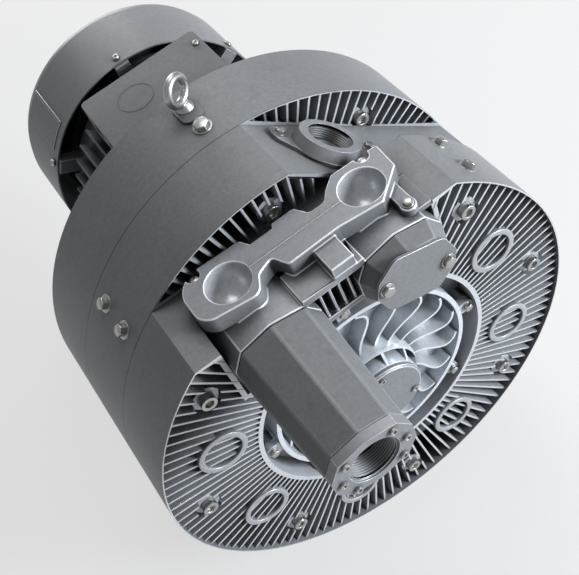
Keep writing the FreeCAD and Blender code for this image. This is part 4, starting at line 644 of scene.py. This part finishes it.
finished(turned_metal("turned_steel", (0.53, 0.53, 0.54, 1), rough=0.28),
         "rotor_shaft", "impeller_keys", "front_sleeve", "rear_sleeve", "impeller_spacer", "lock_nut")
finished(turned_metal("impeller_casting", (0.66, 0.67, 0.68, 1), rough=0.45, grain=0.00008),
         "front_impeller", "rear_impeller")

# Bearings and seal: ground rings and balls of three ball bearings, pressed onto the shaft, and the
# rubber lip seal.

finished(turned_metal("ground_steel", (0.58, 0.58, 0.60, 1), rough=0.16, grain=0.000005),
         "bearing_outer_rings", "bearing_inner_rings", "bearing_balls")
finished(dull("seal_rubber", (0.022, 0.022, 0.024, 1), rough=0.6, lumps=800, depth=0.0001), "shaft_seal")

# Motor: finned aluminium frame and end shield with six lugs, stacked iron cores, varnished copper
# windings and a moulded cooling fan.

CLEAN_IRON = (0.22, 0.21, 0.20, 1)
DARK_IRON = (0.08, 0.07, 0.065, 1)
COPPER = (0.55, 0.24, 0.10, 1)
DARK_COPPER = (0.20, 0.07, 0.03, 1)
SHROUD_RADII = (0.072, 0.124)
SHROUD_THICK = 0.002
SHROUD_SETBACK = 0.003
motor_paint = cast_lacquer("motor_paint", (0.195, 0.202, 0.209, 1), metallic=0.2, rough=0.5)
eased("motor_frame", motor_paint, width=0.0005)
eased("motor_end_shield", motor_paint, width=0.001)


def stacked_iron():
    """Punched sheets pressed into a block: fine dark lines across the shaft."""
    material, shader, start, place = blank_finish("stacked_iron")
    sheets = start.node("TexWave", {"bands_direction": "Y", "wave_profile": "SAW"},
                        {"Vector": place, "Scale": 320, "Distortion": 0.4, "Detail": 2})
    rust = start.node("TexNoise", {}, {"Vector": place, "Scale": 45, "Detail": 5})
    lay(shader, "Base Color", blended(sheets * 0.5 + rust * 0.3, CLEAN_IRON, DARK_IRON))
    lay(shader, "Roughness", 0.5 + rust * 0.3)
    shader.inputs["Metallic"].default_value = 0.8
    lay(shader, "Normal", start.node("Bump", {}, {"Strength": 0.5, "Distance": 0.0001, "Height": sheets}))
    return material


def wound_copper():
    """Varnished wire laid in bundles round the ends of the stator."""
    material, shader, start, place = blank_finish("wound_copper")
    wires = start.node("TexWave", {"wave_type": "RINGS", "rings_direction": "Y"},
                       {"Vector": place, "Scale": 190, "Distortion": 1.5, "Detail": 3})
    varnish = start.node("TexNoise", {}, {"Vector": place, "Scale": 30, "Detail": 4})
    lay(shader, "Base Color", blended(wires * 0.6 + varnish * 0.3, COPPER, DARK_COPPER))
    lay(shader, "Roughness", 0.25 + varnish * 0.2)
    shader.inputs["Metallic"].default_value = 0.8
    lay(shader, "Normal", start.node("Bump", {}, {"Strength": 0.8, "Distance": 0.0006, "Height": wires}))
    return material


finished(stacked_iron(), "stator_core", "rotor_core")
finished(wound_copper(), "stator_windings")
fan_plastic = dull("fan_plastic", (0.03, 0.03, 0.033, 1), rough=0.5, lumps=650, depth=0.00008)
finished(fan_plastic, "cooling_fan")
shroud_place = (0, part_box("cooling_fan")[1].y - SHROUD_SETBACK, axis_height)
bpy.ops.mesh.primitive_cylinder_add(vertices=120, radius=SHROUD_RADII[1], depth=SHROUD_THICK,
                                    location=shroud_place, rotation=ALONG_SHAFT)
shroud = bpy.context.active_object
shroud.name = "fan_shroud_ring"
bpy.ops.mesh.primitive_cylinder_add(vertices=90, radius=SHROUD_RADII[0], depth=SHROUD_THICK * 10,
                                    location=shroud_place, rotation=ALONG_SHAFT)
machine(shroud, bpy.context.active_object)
settle(shroud)
shroud.data.materials.append(fan_plastic)
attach(shroud, frame["nodes"]["cooling_fan"]["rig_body"])

# Fan cowl: drawn and rolled sheet steel over the fan, its side closed by a lapped seam, with a
# punched grille at the back. Six screws hold it to the end shield's lugs.

SEAM_START = 129.6
SEAM_SWEEP = 15
SEAM_THICK = 0.0012
SEAM_MARGINS = (0.012, 0.026)
sheet_paint = cast_lacquer("sheet_paint", (0.235, 0.243, 0.254, 1), metallic=0.2, rough=0.45, sand=0.0001)
cowl = merged_copy("fan_cowl", "fan_cowl_cast")
# The grille's face has too many slots to be rounded whole, so it is split into triangles first.
bpy.ops.object.mode_set(mode="EDIT")
bpy.ops.mesh.quads_convert_to_tris()
bpy.ops.object.mode_set(mode="OBJECT")
round_edges(cowl, sheet_paint, width=0.0005)
stands_for(cowl, "fan_cowl")
cowl_low, cowl_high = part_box("fan_cowl")
cowl_radius = (cowl_high.x - cowl_low.x) / 2
seam_ends = (cowl_low.y + SEAM_MARGINS[0], cowl_high.y - SEAM_MARGINS[1])
seam_length = seam_ends[1] - seam_ends[0]
seam_middle = sum(seam_ends) / 2


def on_the_lap(spot):
    turn = math.degrees(math.atan2(spot.z - axis_height, spot.x))
    return SEAM_START < turn < SEAM_START + SEAM_SWEEP


bpy.ops.mesh.primitive_cylinder_add(vertices=240, radius=cowl_radius + SEAM_THICK, depth=seam_length,
                                    location=(0, seam_middle, axis_height), rotation=ALONG_SHAFT,
                                    end_fill_type="NOTHING")
seam = bpy.context.active_object
seam.name = "cowl_lap_seam"
bpy.ops.object.transform_apply(location=True, rotation=True, scale=True)
pick(seam, on_the_lap)
bpy.ops.mesh.select_all(action="INVERT")
bpy.ops.mesh.delete(type="VERT")
bpy.ops.object.mode_set(mode="OBJECT")
wall = seam.modifiers.new("sheet", "SOLIDIFY")
wall.thickness = SEAM_THICK * 1.5
wall.offset = -1
settle(seam)
round_edges(seam, sheet_paint, width=0.0004)
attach(seam, frame["nodes"]["fan_cowl"]["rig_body"])

# Seam bead: a thin round bead along the edge of the cowl's lap, painted pale as a painted highlight
# where the lap's edge catches the light.

BEAD_RADIUS = 0.0011
bead_angle = math.radians(SEAM_START)
bead_reach = cowl_radius + SEAM_THICK * 0.6
bead_place = (bead_reach * math.cos(bead_angle), seam_middle,
              axis_height + bead_reach * math.sin(bead_angle))
bpy.ops.mesh.primitive_cylinder_add(vertices=12, radius=BEAD_RADIUS, depth=seam_length,
                                    location=bead_place, rotation=ALONG_SHAFT)
bead = bpy.context.active_object
bead.name = "cowl_seam_highlight_bead"
soften(bead, BEAD_RADIUS * 0.6, 3)
bead.data.materials.append(cast_lacquer("seam_highlight_paint", (0.62, 0.63, 0.64, 1), metallic=0.2, rough=0.4))
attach(bead, frame["nodes"]["fan_cowl"]["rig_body"])

# Terminal box: cast aluminium box on top of the motor and its flat lid, whose blanked cable opening
# shows as a fine ring.

lid_paint = cast_lacquer("lid_paint", (0.175, 0.181, 0.188, 1), metallic=0.2, rough=0.5, bright=0)
eased("terminal_box", motor_paint, width=0.001)
eased("terminal_box_lid", lid_paint, width=0.0004)

# Feet: two ribbed castings under the drum, each screwed to the back of the rear casing. They are
# painted as the motor is.

eased("left_foot", motor_paint, width=0.0014)
eased("right_foot", motor_paint, width=0.0014)

# Lifting eye: drop-forged steel ring on a round collar, zinc plated, screwed into the rear casing.
# Its edges flow into each other as the die left them.

EYE_VOXEL = 0.0006
zinc = turned_metal("zinc_plate", (0.50, 0.50, 0.485, 1), rough=0.34)
forged = turned_metal("forged_zinc", (0.47, 0.48, 0.48, 1), rough=0.36, grain=0.00015)
eye = merged_copy("lifting_eye", "forged_lifting_eye")
forging = eye.modifiers.new("forging", "REMESH")
forging.mode = "VOXEL"
forging.voxel_size = EYE_VOXEL
easing = eye.modifiers.new("easing", "SMOOTH")
easing.factor = 0.5
easing.iterations = 8
settle(eye, 60)
eye.data.materials.append(forged)
stands_for(eye, "lifting_eye")

# Screws: zinc-plated steel. Socket heads hold the drum's castings together, the hub cap and the
# silencer's end, cross-recessed pan heads the cowl and the lid, and hexagon heads on washers the rest.

HEAD_ROOT = 0.9
TOP_SLACK = 0.00001
WASHER_THICK = 0.2
HEAD_WASHER = 1.16
SKIRT_WASHER = 1.4
HEXAGON_REACH = 0.98
CHAMFER_RADII = (2.2, 0.82)
SOCKET_REACH = 0.62
CROSS_SLOT = (1.1, 0.24, 1.0)
SCREW_TURN = 37
TO_FRONT = (0, -1, 0)
TO_BACK = (0, 1, 0)
UPWARD = (0, 0, 1)


def solids_of(node):
    """The corners of each loose solid of a node."""
    merged_copy(node, node + "_group")
    bpy.ops.object.mode_set(mode="EDIT")
    bpy.ops.mesh.select_all(action="SELECT")
    bpy.ops.mesh.separate(type="LOOSE")
    bpy.ops.object.mode_set(mode="OBJECT")
    found = []
    for item in list(bpy.context.selected_objects):
        found.append([corner.co.copy() for corner in item.data.vertices])
        bpy.data.objects.remove(item)
    return sorted(found, key=lambda corners: tuple(corners[0]))


def screw_place(corners, axis):
    """Seat, axis, head radius, head height, shank radius and shank length of one screw."""
    middle = sum(corners, Vector()) / len(corners)
    axis = axis(middle) if callable(axis) else Vector(axis)
    top = max(corner.dot(axis) for corner in corners)
    ring = [corner for corner in corners if top - corner.dot(axis) < TOP_SLACK]
    centre = sum(ring, Vector()) / len(ring)
    reach = {}
    for corner in corners:
        arm = corner - centre
        reach[corner.freeze()] = (arm - axis * arm.dot(axis)).length
    head = max(reach.values())
    seat = min(corner.dot(axis) for corner in reach if reach[corner] > head * HEAD_ROOT)
    shank = max([reach[corner] for corner in reach if reach[corner] < head * HEAD_ROOT] or [head / 2])
    low = min(corner.dot(axis) for corner in corners)
    return centre - axis * (top - seat), axis, head, top - seat, shank, seat - low


def hexagon_head(washer_radius):
    """A chamfered six-sided head on its washer, one unit high in all and about one unit in radius."""
    bpy.ops.mesh.primitive_cylinder_add(vertices=6, radius=HEXAGON_REACH, depth=1 - WASHER_THICK,
                                        location=(0, 0, 0.5 + WASHER_THICK / 2))
    head = bpy.context.active_object
    bpy.ops.mesh.primitive_cone_add(vertices=48, radius1=CHAMFER_RADII[0], radius2=CHAMFER_RADII[1],
                                    depth=1, location=(0, 0, 0.5))
    machine(head, bpy.context.active_object, "INTERSECT")
    soften(head, 0.035)
    bpy.ops.mesh.primitive_cylinder_add(vertices=40, radius=washer_radius, depth=WASHER_THICK,
                                        location=(0, 0, WASHER_THICK / 2))
    washer = bpy.context.active_object
    soften(washer, 0.04)
    return head, washer


def socket_head():
    """A round head with a six-sided socket, one unit high and in radius."""
    bpy.ops.mesh.primitive_cylinder_add(vertices=40, radius=1, depth=1, location=(0, 0, 0.5))
    head = bpy.context.active_object
    bpy.ops.mesh.primitive_cylinder_add(vertices=6, radius=SOCKET_REACH, depth=1, location=(0, 0, 1))
    machine(head, bpy.context.active_object)
    soften(head, 0.07)
    return (head,)


def pan_head():
    """A domed head with a cross recess, one unit high and in radius."""
    bpy.ops.mesh.primitive_cylinder_add(vertices=40, radius=1, depth=1, location=(0, 0, 0.5))
    head = bpy.context.active_object
    soften(head, 0.35, 5)
    for turn in (0, 90):
        bpy.ops.mesh.primitive_cube_add(size=1, location=(0, 0, 1))
        tool = bpy.context.active_object
        tool.scale = CROSS_SLOT
        tool.rotation_euler = (0, 0, math.radians(turn))
        machine(head, tool)
    settle(head, 35)
    return (head,)


def screw_blank(name, parts):
    """A head with a plain shank below it, joined as one mesh that is copied for each screw."""
    bpy.ops.mesh.primitive_cylinder_add(vertices=20, radius=1, depth=1, location=(0, 0, -0.5))
    shank = bpy.context.active_object
    soften(shank, 0.08)
    bpy.ops.object.select_all(action="DESELECT")
    for part in (*parts, shank):
        part.select_set(True)
    bpy.context.view_layer.objects.active = parts[0]
    bpy.ops.object.join()
    parts[0].name = name
    return parts[0]


def set_screws(node, blank, axis):
    """One copy of the blank for each screw of a node, turned a little more each time."""
    for number, corners in enumerate(solids_of(node)):
        seat, along, head, height, shank, length = screw_place(corners, axis)
        mesh = blank.data.copy()
        for corner in mesh.vertices:
            wide, tall = (head, height) if corner.co.z > 0.0001 else (shank, length)
            corner.co = (corner.co.x * wide, corner.co.y * wide, corner.co.z * tall)
        turn = Vector((0, 0, 1)).rotation_difference(along).to_matrix().to_4x4()
        drive = Matrix.Rotation(math.radians(SCREW_TURN * number), 4, "Z")
        mesh.transform(Matrix.Translation(seat) @ turn @ drive)
        mesh.materials.clear()
        mesh.materials.append(zinc)
        screw = placed("%s_%02d" % (node, number + 1), mesh)
        stands_for(screw, node)


def outward(middle):
    """Screws in a round skirt point straight away from the shaft."""
    return Vector((middle.x, 0, middle.z - axis_height)).normalized()


hexagon = screw_blank("hexagon_blank", hexagon_head(HEAD_WASHER))
wide = screw_blank("wide_blank", hexagon_head(SKIRT_WASHER))
socket = screw_blank("socket_blank", socket_head())
pan = screw_blank("pan_blank", pan_head())
tilted = pipe_mount("side_port")[1]
for node, blank, axis in (
        ("casing_screws", socket, TO_FRONT), ("cover_screws", hexagon, TO_FRONT),
        ("neck_cover_screws", hexagon, TO_FRONT), ("manifold_screws", hexagon, UPWARD),
        ("side_port_screws", hexagon, tilted), ("skirt_screws", wide, outward),
        ("top_seam_screw", hexagon, UPWARD), ("foot_screws", hexagon, TO_BACK),
        ("motor_flange_screws", hexagon, TO_BACK), ("silencer_screws", socket, TO_FRONT),
        ("hub_cap_screws", socket, TO_FRONT), ("cowl_screws", pan, outward), ("lid_screws", pan, UPWARD)):
    set_screws(node, blank, axis)
for blank in (hexagon, wide, socket, pan):
    bpy.data.objects.remove(blank)

# Studio: a pale floor and an even pale sky, a strong soft lamp low in front on the right, a weaker one
# overhead and one far behind, and a camera at the photograph's angle.

FLOOR_COLOUR = (0.6, 0.6, 0.6, 1)
FLOOR_LIFT = 0.6
SKY_LIGHT = 0.15
SKY_SHOWN = 0.42
WHITE = (1, 1, 1, 1)
SHOWN_RAYS = ("Is Camera Ray", "Is Glossy Ray", "Is Transmission Ray")
AIM = Vector((0, 0, 0.25))
PHOTO_WIDTH = 579
SENSOR_WIDTH = 36
FOCAL_PIXELS = 992
SHIFT_PIXELS = (-25, -5)
CAMERA_PLACE = (-0.1318, -0.8034, 1.1409)
CAMERA_RIGHT = Vector((0.79938, -0.53908, -0.2653))
CAMERA_DOWN = Vector((-0.58421, -0.5944, -0.55268))
CAMERA_AHEAD = Vector((0.14028, 0.59668, -0.7901))


def shown(start):
    """One where the camera, metal or glass looks at the background, and zero for its light on things."""
    return sum(start.node("LightPath", output=ray) for ray in SHOWN_RAYS)


bpy.ops.mesh.primitive_plane_add(size=40, location=(0, 0, 0))
floor = bpy.context.active_object
floor.name = "studio_floor"
floor_paint, shader, start = blank_finish("studio_floor_paint")[:3]
shader.inputs["Base Color"].default_value = FLOOR_COLOUR
shader.inputs["Roughness"].default_value = 0.9
painted = Wire(start.tree, shader.outputs["BSDF"])
backlit = start.node("Emission", {}, {"Color": WHITE, "Strength": 1.0})
mixed = start.node("MixShader", {}, {0: shown(start) * FLOOR_LIFT, 1: painted, 2: backlit})
lay(start.tree.nodes["Material Output"], "Surface", mixed)
floor.data.materials.append(floor_paint)
world = bpy.data.worlds.new("studio_world")
bpy.context.scene.world = world
world.use_nodes = True
background = world.node_tree.nodes["Background"]
background.inputs["Color"].default_value = WHITE
lay(background, "Strength", SKY_LIGHT + (SKY_SHOWN - SKY_LIGHT) * shown(Wire(world.node_tree)))


def soft_lamp(name, place, size, watts):
    light = bpy.data.lights.new(name, "AREA")
    light.size = size
    light.energy = watts
    lamp = placed(name, light)
    lamp.location = place
    lamp.rotation_euler = (AIM - Vector(place)).to_track_quat("-Z", "Y").to_euler()


soft_lamp("key_lamp", (2.0, -2.0, 1.0), size=1.1, watts=150)
soft_lamp("top_lamp", (0.9, 0.8, 2.5), size=1.4, watts=26)
soft_lamp("back_lamp", (0.4, 3.0, 0.8), size=1.4, watts=40)
bpy.data.lights["key_lamp"].color = (0.90, 0.95, 1.0)

lens = bpy.data.cameras.new("photo_camera")
lens.sensor_width = SENSOR_WIDTH
lens.lens = SENSOR_WIDTH * FOCAL_PIXELS / PHOTO_WIDTH
lens.shift_x = SHIFT_PIXELS[0] / PHOTO_WIDTH
lens.shift_y = SHIFT_PIXELS[1] / PHOTO_WIDTH
camera = placed("photo_camera", lens)
bpy.context.scene.camera = camera
facing = Matrix((CAMERA_RIGHT, -CAMERA_DOWN, -CAMERA_AHEAD)).transposed()
camera.matrix_world = Matrix.Translation(CAMERA_PLACE) @ facing.to_4x4()

bpy.context.scene.view_settings.view_transform = "Standard"
